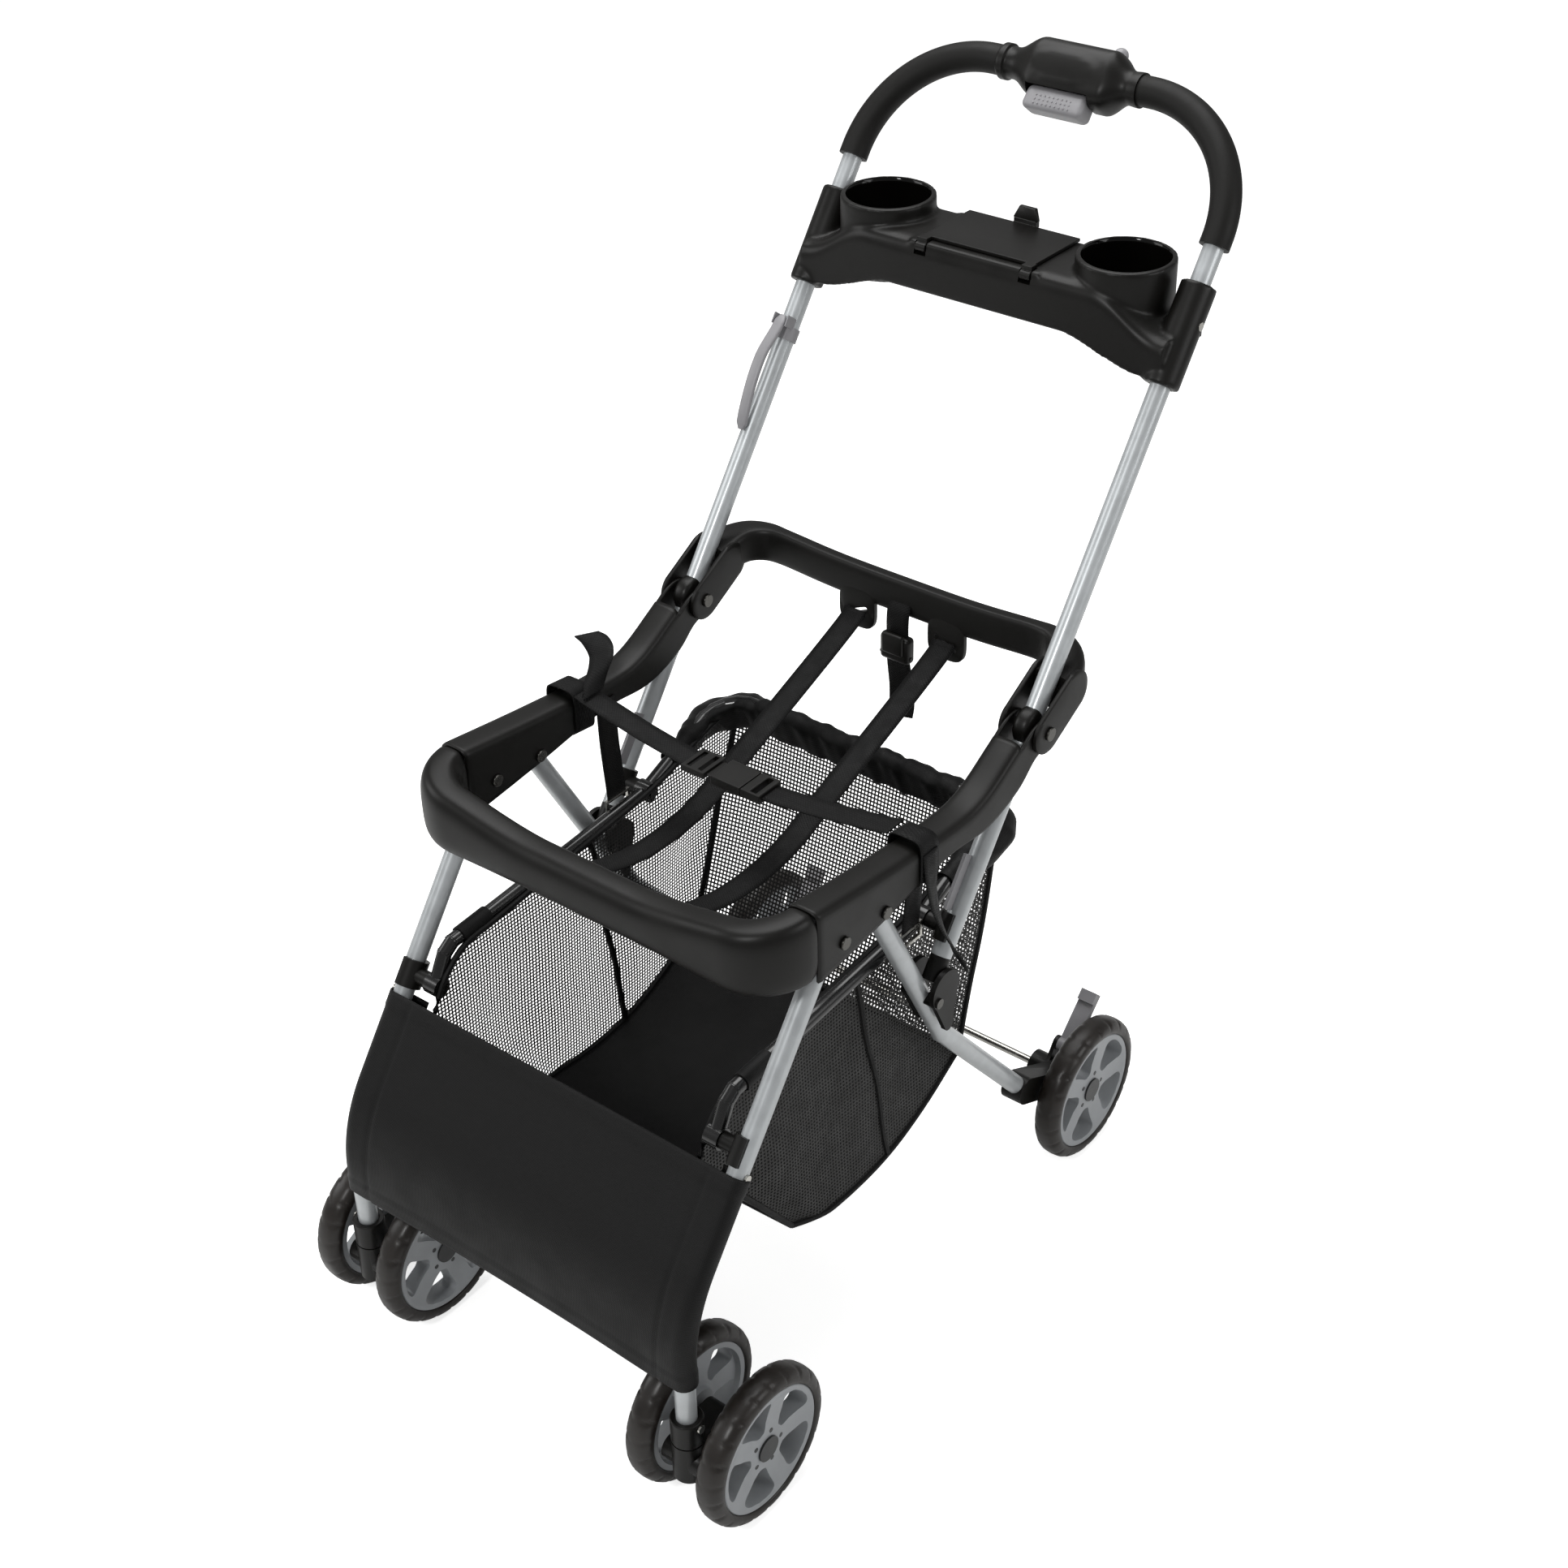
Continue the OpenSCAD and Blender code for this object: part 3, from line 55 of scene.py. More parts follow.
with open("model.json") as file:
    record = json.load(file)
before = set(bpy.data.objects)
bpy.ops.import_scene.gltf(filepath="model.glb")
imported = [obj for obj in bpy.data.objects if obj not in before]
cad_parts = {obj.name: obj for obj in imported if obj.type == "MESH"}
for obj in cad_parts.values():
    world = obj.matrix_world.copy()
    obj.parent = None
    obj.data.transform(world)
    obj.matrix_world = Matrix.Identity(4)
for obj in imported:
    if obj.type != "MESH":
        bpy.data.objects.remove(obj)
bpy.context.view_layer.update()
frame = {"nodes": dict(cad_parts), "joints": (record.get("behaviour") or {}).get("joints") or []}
ANCHOR = {j["name"]: Vector(j["pos_m"]) for j in frame["joints"] if "pos_m" in j}
HANDLE_PIVOT = Vector((0, ANCHOR["handle_fold"].y, ANCHOR["handle_fold"].z))
LEG_PIVOT = Vector((0, ANCHOR["front_leg_fold"].y, ANCHOR["front_leg_fold"].z))
TUBE_X = ANCHOR["caster_swivel_right"].x
CASTER_Y = ANCHOR["caster_swivel_right"].y
LEAN = math.radians(36.5)
TUBE_UP = Vector((0, math.sin(LEAN), math.cos(LEAN)))
TUBE_OUT = Vector((0, math.cos(LEAN), -math.sin(LEAN)))


# Small helpers


def linear(hex_colour):
    """A colour in linear light from its sRGB hex value."""
    parts = [int(hex_colour[i : i + 2], 16) / 255 for i in (1, 3, 5)]
    return [p / 12.92 if p <= 0.04045 else ((p + 0.055) / 1.055) ** 2.4 for p in parts]


def smooth_step(low, high, value):
    t = min(1.0, max(0.0, (value - low) / (high - low)))
    return t * t * (3 - 2 * t)


def along(points, t):
    """The point at share t of a smooth curve through points."""
    lengths = [0.0]
    for a, b in zip(points, points[1:]):
        lengths.append(lengths[-1] + max((b - a).length, 1e-9))
    goal = min(max(t, 0.0), 1.0) * lengths[-1]
    i = max(k for k in range(len(points) - 1) if lengths[k] <= goal + 1e-12)
    s = (goal - lengths[i]) / (lengths[i + 1] - lengths[i])
    p1, p2 = points[i], points[i + 1]
    p0 = points[i - 1] if i else p1 - (p2 - p1)
    p3 = points[i + 2] if i + 2 < len(points) else p2 + (p2 - p1)
    m1, m2 = (p2 - p0) / 2, (p3 - p1) / 2
    return (
        p1 * (2 * s**3 - 3 * s**2 + 1)
        + m1 * (s**3 - 2 * s**2 + s)
        + p2 * (3 * s**2 - 2 * s**3)
        + m2 * (s**3 - s**2)
    )


def mm(*numbers):
    return Vector(numbers) * MM


def oval(angle, half_w, half_h, power):
    """A point on a rounded rectangle: power 2 is an ellipse and larger is squarer."""
    c, s = math.cos(angle), math.sin(angle)
    u = half_w * math.copysign(abs(c) ** (2 / power), c)
    v = half_h * math.copysign(abs(s) ** (2 / power), s)
    return u, v


def mapped_grid(steps_u, steps_v, place, flat=(1.0, 1.0)):
    """A grid laid through place(u, v), with UVs in metres over the flat size."""
    bm = bmesh.new()
    layer = bm.loops.layers.uv.verify()
    bmesh.ops.create_grid(bm, x_segments=steps_u, y_segments=steps_v, size=0.5, calc_uvs=True)
    for vert in bm.verts:
        for loop in vert.link_loops:
            loop[layer].uv = ((vert.co.x + 0.5) * flat[0], (vert.co.y + 0.5) * flat[1])
    for vert in bm.verts:
        vert.co = place(vert.co.x + 0.5, vert.co.y + 0.5)
    return bm


def closed_tube(steps_u, steps_v, place, flat=(1.0, 1.0), caps=True):
    """A grid welded where its edges meet, with its open ends filled if caps is set."""
    bm = mapped_grid(steps_u, steps_v, place, flat)
    bmesh.ops.remove_doubles(bm, verts=bm.verts, dist=1e-6)
    if caps:
        ends = [e for e in bm.edges if e.is_boundary]
        bmesh.ops.edgeloop_fill(bm, edges=ends)
    bmesh.ops.recalc_face_normals(bm, faces=bm.faces)
    return bm


def merged(parts):
    """Several bmeshes in one."""
    whole = bmesh.new()
    whole.loops.layers.uv.verify()
    for part in parts:
        mesh = bpy.data.meshes.new("part")
        part.to_mesh(mesh)
        part.free()
        whole.from_mesh(mesh)
        bpy.data.meshes.remove(mesh)
    return whole


def mirrored(bm):
    """The shape reflected to the other side."""
    bmesh.ops.scale(bm, verts=bm.verts, vec=(-1, 1, 1))
    bmesh.ops.reverse_faces(bm, faces=bm.faces)
    return bm


def piece(name, bm, body, finish, replaced=(), crease=35):
    """Makes an object of the shape, gives it a finish by its key, and lets it ride on its body."""
    mesh = bpy.data.meshes.new(name)
    for face in bm.faces:
        face.smooth = True
    bm.to_mesh(mesh)
    bm.free()
    mesh.set_sharp_from_angle(angle=math.radians(crease))
    mesh.materials.append(FINISHES[finish])
    obj = bpy.data.objects.new(name, mesh)
    bpy.context.scene.collection.objects.link(obj)
    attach(obj, body)
    if replaced:
        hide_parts(*replaced)
    return obj


def thicken(obj, thickness, offset=0.0):
    solid = obj.modifiers.new("Thickness", "SOLIDIFY")
    solid.thickness = thickness
    solid.offset = offset
    solid.use_even_offset = True
    return obj


def fused(parts, voxel=None, rounds=0, cuts=()):
    """Closed shapes melted into one soft skin where a voxel size is given, less the cuts."""
    objects = []
    for bm in (merged(parts), *cuts):
        mesh = bpy.data.meshes.new("melt")
        bm.to_mesh(mesh)
        bm.free()
        objects.append(bpy.data.objects.new("melt", mesh))
        bpy.context.scene.collection.objects.link(objects[-1])
    body = objects[0]
    if voxel:
        melt = body.modifiers.new("Melt", "REMESH")
        melt.mode = "VOXEL"
        melt.voxel_size = voxel
        soften = body.modifiers.new("Soften", "SMOOTH")
        soften.iterations = rounds
    for cutter in objects[1:]:
        take = body.modifiers.new("Cut", "BOOLEAN")
        take.operation = "DIFFERENCE"
        take.solver = "EXACT"
        take.object = cutter
    result = bmesh.new()
    result.from_mesh(body.evaluated_get(bpy.context.evaluated_depsgraph_get()).to_mesh())
    for obj in objects:
        mesh = obj.data
        bpy.data.objects.remove(obj)
        bpy.data.meshes.remove(mesh)
    return result


def block(low, high, rounding=0.0, segments=3):
    """A box between two corners with rounded edges."""
    bm = bmesh.new()
    bmesh.ops.create_cube(bm, size=1)
    size = high - low
    bmesh.ops.scale(bm, verts=bm.verts, vec=size)
    bmesh.ops.translate(bm, verts=bm.verts, vec=(low + high) / 2)
    if rounding:
        bmesh.ops.bevel(
            bm,
            geom=bm.edges[:],
            offset=rounding,
            offset_type="OFFSET",
            segments=segments,
            profile=0.5,
            affect="EDGES",
            material=-1,
        )
    return bm


def post(foot, top, radius, around=48):
    """A round post between two points."""
    bm = bmesh.new()
    axis = top - foot
    bmesh.ops.create_cone(
        bm, cap_ends=True, segments=around, radius1=radius, radius2=radius, depth=axis.length
    )
    turn = UP.rotation_difference(axis).to_matrix().to_4x4()
    bmesh.ops.transform(bm, matrix=Matrix.Translation((foot + top) / 2) @ turn, verts=bm.verts)
    return bm


def looped(outline, stations):
    """A closed bar lofted through stations, each a list of points from outline(station)."""
    rings = [outline(s) for s in stations]
    count = len(rings[0])

    def place(u, v):
        ring = rings[min(len(rings) - 1, round(v * (len(rings) - 1)))]
        return ring[round(u * count) % count]

    return closed_tube(count, len(rings) - 1, place)


def on_handle(x, out, run):
    """A point in the handle's frame: across, out of the tube's back and up the tube from its pivot."""
    return HANDLE_PIVOT + ACROSS * x + TUBE_OUT * out + TUBE_UP * run


def cad_copy(node):
    """The shape of a CAD piece, without the seams between its flat facets."""
    bm = bmesh.new()
    bm.from_mesh(frame["nodes"][node].data)
    bmesh.ops.remove_doubles(bm, verts=bm.verts, dist=2e-5)
    bmesh.ops.dissolve_limit(bm, angle_limit=math.radians(1.5), verts=bm.verts, edges=bm.edges)
    return bm


def rounded(obj, width):
    """Rounds the sharp edges of a moulding."""
    bevel = obj.modifiers.new("Edges", "BEVEL")
    bevel.width = width
    bevel.segments = 2
    bevel.limit_method = "ANGLE"
    bevel.angle_limit = math.radians(40)
    bevel.use_clamp_overlap = True
    bevel.harden_normals = True
    return obj


def run_of(path):
    """The length of a path from point to point."""
    return sum((b - a).length for a, b in zip(path, path[1:]))


def heading(path, t):
    """The direction of the smooth curve through a path at share t."""
    return (along(path, min(1, t + 0.01)) - along(path, max(0, t - 0.01))).normalized()


def ribbon(path, width, steps, sides):
    """Webbing along a smooth path. sides gives its width direction at each path point."""

    def place(u, v):
        return along(path, v) + along(sides, v).normalized() * (u - 0.5) * width

    return mapped_grid(4, steps, place, (width, run_of(path)))


def rod(path, radius, steps, around):
    """A round rod along a smooth path."""

    def place(u, v):
        ahead = heading(path, v)
        a = ahead.cross(UP if abs(ahead.dot(UP)) < 0.9 else BACK).normalized()
        b = a.cross(ahead)
        turn = 2 * math.pi * u
        return along(path, v) + (a * math.cos(turn) + b * math.sin(turn)) * radius

    return closed_tube(around, steps, place, (2 * math.pi * radius, run_of(path)))


def spun(x, radius, turn):
    """A point at a turn about the x axis."""
    return Vector((x, radius * math.cos(turn), radius * math.sin(turn)))


# Finishes


def add_node(tree, kind, inputs=None, **settings):
    """Adds a node with its settings. An input is a value, or (node, output) to link."""
    node = tree.nodes.new(kind)
    for key, value in settings.items():
        setattr(node, key, value)
    for key, value in (inputs or {}).items():
        if isinstance(value, tuple) and isinstance(value[0], bpy.types.Node):
            tree.links.new(value[0].outputs[value[1]], node.inputs[key])
        else:
            node.inputs[key].default_value = value
    return node


def new_finish(name, **values):
    """A material with one Principled shader whose even values are set on its sockets."""
    finish = bpy.data.materials.new(name)
    finish.use_nodes = True
    tree = finish.node_tree
    shader = tree.nodes["Principled BSDF"]
    for key, value in values.items():
        shader.inputs[key.replace("_", " ")].default_value = value
    return finish, tree, shader


def vary(tree, shader, colour, spread, patch_mm, rough):
    """Lets colour and roughness drift a little in soft patches. Returns the coordinates it reads."""
    vector = (add_node(tree, "ShaderNodeTexCoord"), "Object")
    inputs = {"Vector": vector, "Scale": 1 / (patch_mm * MM), "Detail": 4.0}
    patches = (add_node(tree, "ShaderNodeTexNoise", inputs), "Fac")
    low, high = 0.3, 0.7
    ramp = add_node(tree, "ShaderNodeValToRGB", {"Fac": patches})
    for element, position, share in zip(ramp.color_ramp.elements, (low, high), (1 - spread, 1 + spread)):
        element.position = position
        element.color = (*(c * share for c in colour), 1)
    tree.links.new(ramp.outputs["Color"], shader.inputs["Base Color"])
    inputs = {"Value": patches, "From Min": low, "From Max": high, "To Min": rough[0], "To Max": rough[1]}
    gloss = add_node(tree, "ShaderNodeMapRange", inputs)
    tree.links.new(gloss.outputs["Result"], shader.inputs["Roughness"])
    return vector


def patchy_finish(name, colour, spread, patch_mm, rough, relief=None, **values):
    """A material that drifts in soft patches, with relief of (pitch in mm, depth in mm, strength)."""
    finish, tree, shader = new_finish(name, **values)
    vector = vary(tree, shader, colour, spread, patch_mm, rough)
    if relief:
        pitch_mm, depth_mm, strength = relief
        inputs = {"Vector": vector, "Scale": 1 / (pitch_mm * MM), "Detail": 2.0}
        grain = add_node(tree, "ShaderNodeTexNoise", inputs)
        inputs = {"Height": (grain, "Fac"), "Distance": depth_mm * MM, "Strength": strength}
        bump = add_node(tree, "ShaderNodeBump", inputs)
        tree.links.new(bump.outputs["Normal"], shader.inputs["Normal"])
    return finish


def scaled_uv(tree, pitch_mm, turn=0.0):
    """UV coordinates, which are metres, counted in steps of the given pitch."""
    coords = add_node(tree, "ShaderNodeTexCoord")
    scale = 1 / (pitch_mm * MM)
    return add_node(
        tree,
        "ShaderNodeMapping",
        {"Vector": (coords, "UV"), "Scale": (scale, scale, scale), "Rotation": (0, 0, math.radians(turn))},
    )


def moulded_polypropylene(name, colour, rough, grain_mm):
    """Injection moulded polypropylene: satin black with a fine spark eroded grain and patchy gloss."""
    # Grain is about 0.2 mm and is drawn at 1 mm or more so that it shows
    relief = (grain_mm, 0.05, 0.45)
    return patchy_finish(name, colour, 0.18, 45, rough, relief, IOR=1.49, Specular_IOR_Level=0.28)


def foam_grip(colour):
    """Extruded EVA foam sleeve: matt, soft black with open pores that dull the highlight."""
    # Pores are about 0.4 mm and are drawn at 1.3 mm so that they show
    relief = (1.3, 0.1, 0.6)
    rough = (0.5, 0.62)
    return patchy_finish("extruded_foam", colour, 0.15, 30, rough, relief, IOR=1.45, Specular_IOR_Level=0.3)


def painted_steel(colour):
    """Steel tube with silver paint: fine metal flakes under a clear satin coat."""
    # Flakes are a few hundredths of a millimetre and are drawn at 0.7 mm
    relief = (0.7, 0.01, 0.5)
    coat = {"Metallic": 0.35, "Coat_Weight": 0.5, "Coat_Roughness": 0.12}
    return patchy_finish("painted_steel", colour, 0.06, 14, (0.32, 0.4), relief, **coat)


def black_enamel(colour):
    """Stove enamelled steel tube: deep black with a clear wet gloss."""
    # The enamel's faint waves are about 9 mm
    relief = (9, 0.03, 0.3)
    coat = {"IOR": 1.5, "Coat_Weight": 0.4, "Coat_Roughness": 0.08}
    return patchy_finish("enamelled_steel", colour, 0.2, 60, (0.22, 0.3), relief, **coat)


def bright_zinc(colour):
    """Zinc plated steel of the rivets, the axle and the rings: bright with faint turning marks."""
    # Turning marks are about 0.1 mm and are drawn at 1.5 mm
    relief = (1.5, 0.02, 0.35)
    return patchy_finish("zinc_plated_steel", colour, 0.08, 6, (0.16, 0.28), relief, Metallic=1.0)


def black_zinc(colour):
    """Black passivated steel of the ring's rivets: dark metal with a soft shine on the domes."""
    return patchy_finish("black_passivated_steel", colour, 0.1, 6, (0.24, 0.34), Metallic=1.0)


def grey_abs(name, colour, rough):
    """Grey moulded ABS: an even satin skin with a little flow mark patchiness."""
    # Grain is about 0.2 mm and is drawn at 1.1 mm
    return patchy_finish(name, colour, 0.07, 28, rough, (1.1, 0.03, 0.4), IOR=1.53)


def tyre_eva(colour):
    """Moulded EVA foam tyre: warm black with a smooth skin that shines along the shoulders."""
    # The skin's dimples are about 1 mm and are drawn at 2.6 mm
    relief = (2.6, 0.06, 0.5)
    rough = (0.3, 0.44)
    return patchy_finish("moulded_foam", colour, 0.22, 22, rough, relief, IOR=1.5, Specular_IOR_Level=0.4)


def weave_bump(tree, shader, waves, depth_mm, operation):
    """Relief of two crossing sets of threads. Each wave is (pitch in mm, turn, direction)."""
    heights = []
    for pitch, turn, direction in waves:
        inputs = {"Vector": (scaled_uv(tree, pitch * math.pi, turn), "Vector"), "Scale": 1.0}
        wave = add_node(tree, "ShaderNodeTexWave", inputs, bands_direction=direction)
        heights.append((wave, "Fac"))
    weave = add_node(tree, "ShaderNodeMath", dict(enumerate(heights)), operation=operation)
    inputs = {"Height": (weave, "Value"), "Distance": depth_mm * MM, "Strength": 0.8}
    bump = add_node(tree, "ShaderNodeBump", inputs)
    tree.links.new(bump.outputs["Normal"], shader.inputs["Normal"])


def woven_webbing(colour):
    """Polypropylene webbing: black ribs across the strap in a herringbone weave."""
    finish, tree, shader = new_finish("woven_webbing", IOR=1.49, Specular_IOR_Level=0.2)
    vary(tree, shader, colour, 0.2, 12, (0.5, 0.68))
    # Picks are about 1.1 mm apart and are drawn at 2.2 mm
    weave_bump(tree, shader, [(2.2, 38, "Y"), (2.2, -38, "Y")], 0.4, "MULTIPLY")
    return finish


def woven_nylon(name, colour):
    """Coated nylon cloth: tight plain weave, nearly black, with a soft sheen at grazing angles."""
    finish, tree, shader = new_finish(name, IOR=1.48, Specular_IOR_Level=0.25)
    vary(tree, shader, colour, 0.12, 35, (0.46, 0.6))
    # Threads are about 0.4 mm apart and are drawn at 1.4 mm
    weave_bump(tree, shader, [(1.4, 0, "X"), (1.4, 0, "Y")], 0.1, "ADD")
    return finish


def knitted_net(colour):
    """Knitted polyester net: black threads with square open holes."""
    finish, tree, shader = new_finish("knitted_net", IOR=1.5)
    vary(tree, shader, colour, 0.2, 18, (0.5, 0.7))
    # Rows of holes are about 3 mm apart and are drawn at 4 mm, of which 0.46 is thread
    cells = add_node(tree, "ShaderNodeSeparateXYZ", {0: (scaled_uv(tree, 4.0), "Vector")})
    threads = []
    for axis in ("X", "Y"):
        share = add_node(tree, "ShaderNodeMath", {0: (cells, axis)}, operation="FRACT")
        thread = add_node(tree, "ShaderNodeMath", {0: (share, "Value"), 1: 0.46}, operation="LESS_THAN")
        threads.append((thread, "Value"))
    cover = add_node(tree, "ShaderNodeMath", dict(enumerate(threads)), operation="MAXIMUM")
    tree.links.new(cover.outputs["Value"], shader.inputs["Alpha"])
    return finish


def colour_property(name, description, hex_colour):
    """A colour that the panel shows, given as its sRGB hex value."""
    return bpy.props.FloatVectorProperty(
        name=name, description=description, subtype="COLOR", default=linear(hex_colour), min=0, max=1
    )


def length_property(name, description, size_mm):
    """A length that the panel shows, given in millimetres."""
    return bpy.props.FloatProperty(
        name=name, description=description, default=size_mm * MM, unit="LENGTH"
    )


class FinishColours(bpy.types.PropertyGroup):
    """Colours that a user would change."""

    plastic: colour_property("Black plastic", "Moulded rails, tray and housings", "#0d0c0a")
    foam: colour_property("Foam", "Foam grips of the handle", "#0d0c0a")
    silver: colour_property("Silver paint", "Painted handle and leg tubes", "#b8bcbe")
    enamel: colour_property("Black enamel", "Tube of the basket frame", "#0a0a0a")
    zinc: colour_property("Zinc", "Rivets, axle and rings", "#c4c2bc")
    grey: colour_property("Grey plastic", "Trigger, latch and pedals", "#8d8c8f")
    rim: colour_property("Rim", "Wheel rims", "#94979a")
    tyre: colour_property("Tyre", "Foam tyres", "#211d1a")
    webbing: colour_property("Webbing", "Straps and belts", "#080808")
    cloth: colour_property("Cloth", "Front panel and basket cloth", "#0a0a0a")
    net: colour_property("Net", "Net sides of the basket", "#171615")
    floor: colour_property("Floor", "Floor under the frame", "#f7f7f6")
    light: bpy.props.FloatProperty(
        name="Light level", description="Share of the plain light level", default=1.0, min=0.1, max=2
    )


class PieceSizes(bpy.types.PropertyGroup):
    """Sizes that a user would change."""

    webbing_width: length_property("Webbing width", "Width of the straps", 25)
    webbing_thickness: length_property("Webbing thickness", "Thickness of the straps", 1.4)
    cloth_thickness: length_property("Cloth thickness", "Thickness of the panel and basket cloth", 1.0)
    tread_blocks: bpy.props.IntProperty(
        name="Tread blocks", description="Number of grooves round a tyre", default=22, min=8, max=60
    )


FINISHES = {}


def shade(colour, share):
    """A darker mix of a colour."""
    return [c * share for c in colour]


def make_finishes(colours):
    """Makes the materials that the pieces name by their keys."""
    FINISHES.update(
        plastic=moulded_polypropylene("moulded_polypropylene", colours.plastic, (0.34, 0.44), 1.0),
        satin=moulded_polypropylene("satin_polypropylene", colours.plastic, (0.38, 0.48), 1.2),
        gloss=moulded_polypropylene("glossy_polypropylene", shade(colours.plastic, 0.5), (0.08, 0.14), 6),
        foam=foam_grip(colours.foam),
        silver=painted_steel(colours.silver),
        enamel=black_enamel(colours.enamel),
        zinc=bright_zinc(colours.zinc),
        rivet=black_zinc(shade(colours.zinc, 0.2)),
        grey=grey_abs("moulded_abs", colours.grey, (0.38, 0.48)),
        rim=grey_abs("moulded_rim_abs", colours.rim, (0.34, 0.44)),
        # Dark hub plastic of the cap, which also gives the painted shade of the rim's five holes
        hub=grey_abs("moulded_hub_abs_and_painted_hole_shade", shade(colours.rim, 0.05), (0.34, 0.44)),
        tyre=tyre_eva(colours.tyre),
        webbing=woven_webbing(colours.webbing),
        panel=woven_nylon("woven_panel_nylon", colours.cloth),
        floor_cloth=woven_nylon("woven_basket_nylon", shade(colours.cloth, 0.4)),
        net=knitted_net(colours.net),
    )


NODE_FINISH = {
    "silver": ["handle_tube", "front_leg_left", "front_leg_right", "rear_leg_left", "rear_leg_right"],
    "foam": ["grip_left", "grip_right"],
    "zinc": ["handle_rivets", "front_rivets", "rear_axle", "strap_rings"],
    "rivet": ["rear_screws"],
    "enamel": ["basket_frame"],
    "grey": ["lock_guides"],
    "plastic": ["frame_hangers", "front_brackets", "belt_adjuster"],
}

MOULDINGS = [
    ("tray_lid", "tray_lid", "plastic", 1.2),
    ("caster_sockets", "front_legs", "plastic", 1.5),
    ("caster_left", "caster_left", "plastic", 2.0),
    ("caster_right", "caster_right", "plastic", 2.0),
    ("rear_brackets", "rear_legs", "plastic", 1.5),
    ("leg_catches", "rear_legs", "satin", 1.5),
    ("brake_pedal_left", "brake_pedal_left", "grey", 1.0),
    ("brake_pedal_right", "brake_pedal_right", "grey", 1.0),
    ("buckle_socket", "seat_ring", "plastic", 1.2),
    ("buckle_tongue", "seat_ring", "plastic", 1.2),
    ("ring_bolts", "seat_ring", "rivet", 1.8),
]


class STROLLER_OT_finish_nodes(bpy.types.Operator):
    """Finishes the CAD pieces that show as they are"""

    bl_idname = "stroller.finish_nodes"
    bl_label = "Finish tubes and fasteners"

    def execute(self, context):
        make_finishes(context.scene.stroller_colours)
        for finish, nodes in NODE_FINISH.items():
            for node in nodes:
                mesh = frame["nodes"][node].data
                mesh.materials.clear()
                mesh.materials.append(FINISHES[finish])
        return {"FINISHED"}


class STROLLER_OT_mouldings(bpy.types.Operator):
    """Rounds the edges of the small moulded pieces"""

    bl_idname = "stroller.mouldings"
    bl_label = "Round the mouldings"

    def execute(self, context):
        for node, body, finish, width in MOULDINGS:
            rounded(piece(node + "_moulding", cad_copy(node), body, finish, (node,), 40), width * MM)
        return {"FINISHED"}


# Handle

HANDLE_RUN = 565 * MM
TRAY_FRONT = ANCHOR["lid_open"].y - 4 * MM
TRAY_DEPTH = 86 * MM
DECK = ANCHOR["lid_open"].z + 5 * MM
SKIRT_LOW = 857 * MM
BIN_HALF = 70 * MM
WELL_HALF = 57 * MM
CUP_RISE = 16 * MM
CUP_DEPTH = 68 * MM
CUP_R = 39.5 * MM
CUP_WALL = 5.8 * MM
CUP_X = 130 * MM
CUP_Y = TRAY_FRONT + 52 * MM
SOCKET_RUN = (318 * MM, 412 * MM)
SOCKET_R = 16.5 * MM
TUBE_R = 9.5 * MM
TRAY_VOXEL = 2 * MM


def tray_section(x):
    """The tray's wall at one place across: a front skirt, the deck and a short skirt behind."""
    reach = abs(x) / MM
    out = smooth_step(84, 182, reach)
    front = TRAY_FRONT / MM + 3 * out
    rear = (TRAY_FRONT + TRAY_DEPTH) / MM - 14 * out
    top = DECK / MM - 34 * smooth_step(122, 196, reach)
    low = SKIRT_LOW / MM - 22 * smooth_step(92, 176, reach)
    outside = [(front, low), (front, top - 13), (front + 1.2, top - 7.5), (front + 4, top - 3.2)]
    outside += [(front + 9, top - 0.8), (front + 14, top), (rear - 7, top), (rear - 2, top - 2)]
    inside = [(rear, top - 7), (rear, top - 18), (rear - 6, top - 18), (rear - 6, top - 8)]
    inside += [(front + 14, top - 8), (front + 7.5, top - 14), (front + 7.5, low)]
    return [Vector((x, y * MM, z * MM)) for y, z in outside + inside]


def tray_body():
    """The tray: a skirt, a bin in its deck, two cups and the sockets on the handle tubes."""
    parts = [looped(tray_section, [k * 5 * MM for k in range(-40, 41)])]
    rear = TRAY_FRONT + TRAY_DEPTH
    bin_low = Vector((-BIN_HALF, TRAY_FRONT + 2 * MM, DECK - 31 * MM))
    parts.append(block(bin_low, Vector((BIN_HALF, rear, DECK))))
    well_low = Vector((-WELL_HALF, TRAY_FRONT + 16 * MM, DECK - 26 * MM))
    cuts = [block(well_low, Vector((WELL_HALF, rear - 8 * MM, 1)))]
    for sign in SIDES.values():
        cup = Vector((sign * CUP_X, CUP_Y, DECK + CUP_RISE))
        parts.append(post(cup - UP * (CUP_DEPTH + 4 * MM), cup - UP * 0.5 * MM, CUP_R + CUP_WALL, 72))
        cuts.append(post(cup - UP * CUP_DEPTH, cup + UP * 9 * MM, CUP_R + 1 * MM, 72))
        low, high = (on_handle(sign * TUBE_X, 0, run) for run in SOCKET_RUN)
        parts.append(post(low, high, SOCKET_R))
        ends = (on_handle(sign * TUBE_X, 0, run) for run in (SOCKET_RUN[0] - 0.05, SOCKET_RUN[1] + 0.05))
        cuts.append(post(*ends, TUBE_R + 0.4 * MM))
        hinge = Vector((sign * WELL_HALF, TRAY_FRONT + 3 * MM, DECK - 5 * MM))
        cuts.append(block(hinge - mm(6.5, 9, 7), hinge + mm(6.5, 9.5, 12)))
    return fused(parts, TRAY_VOXEL, 7, cuts)


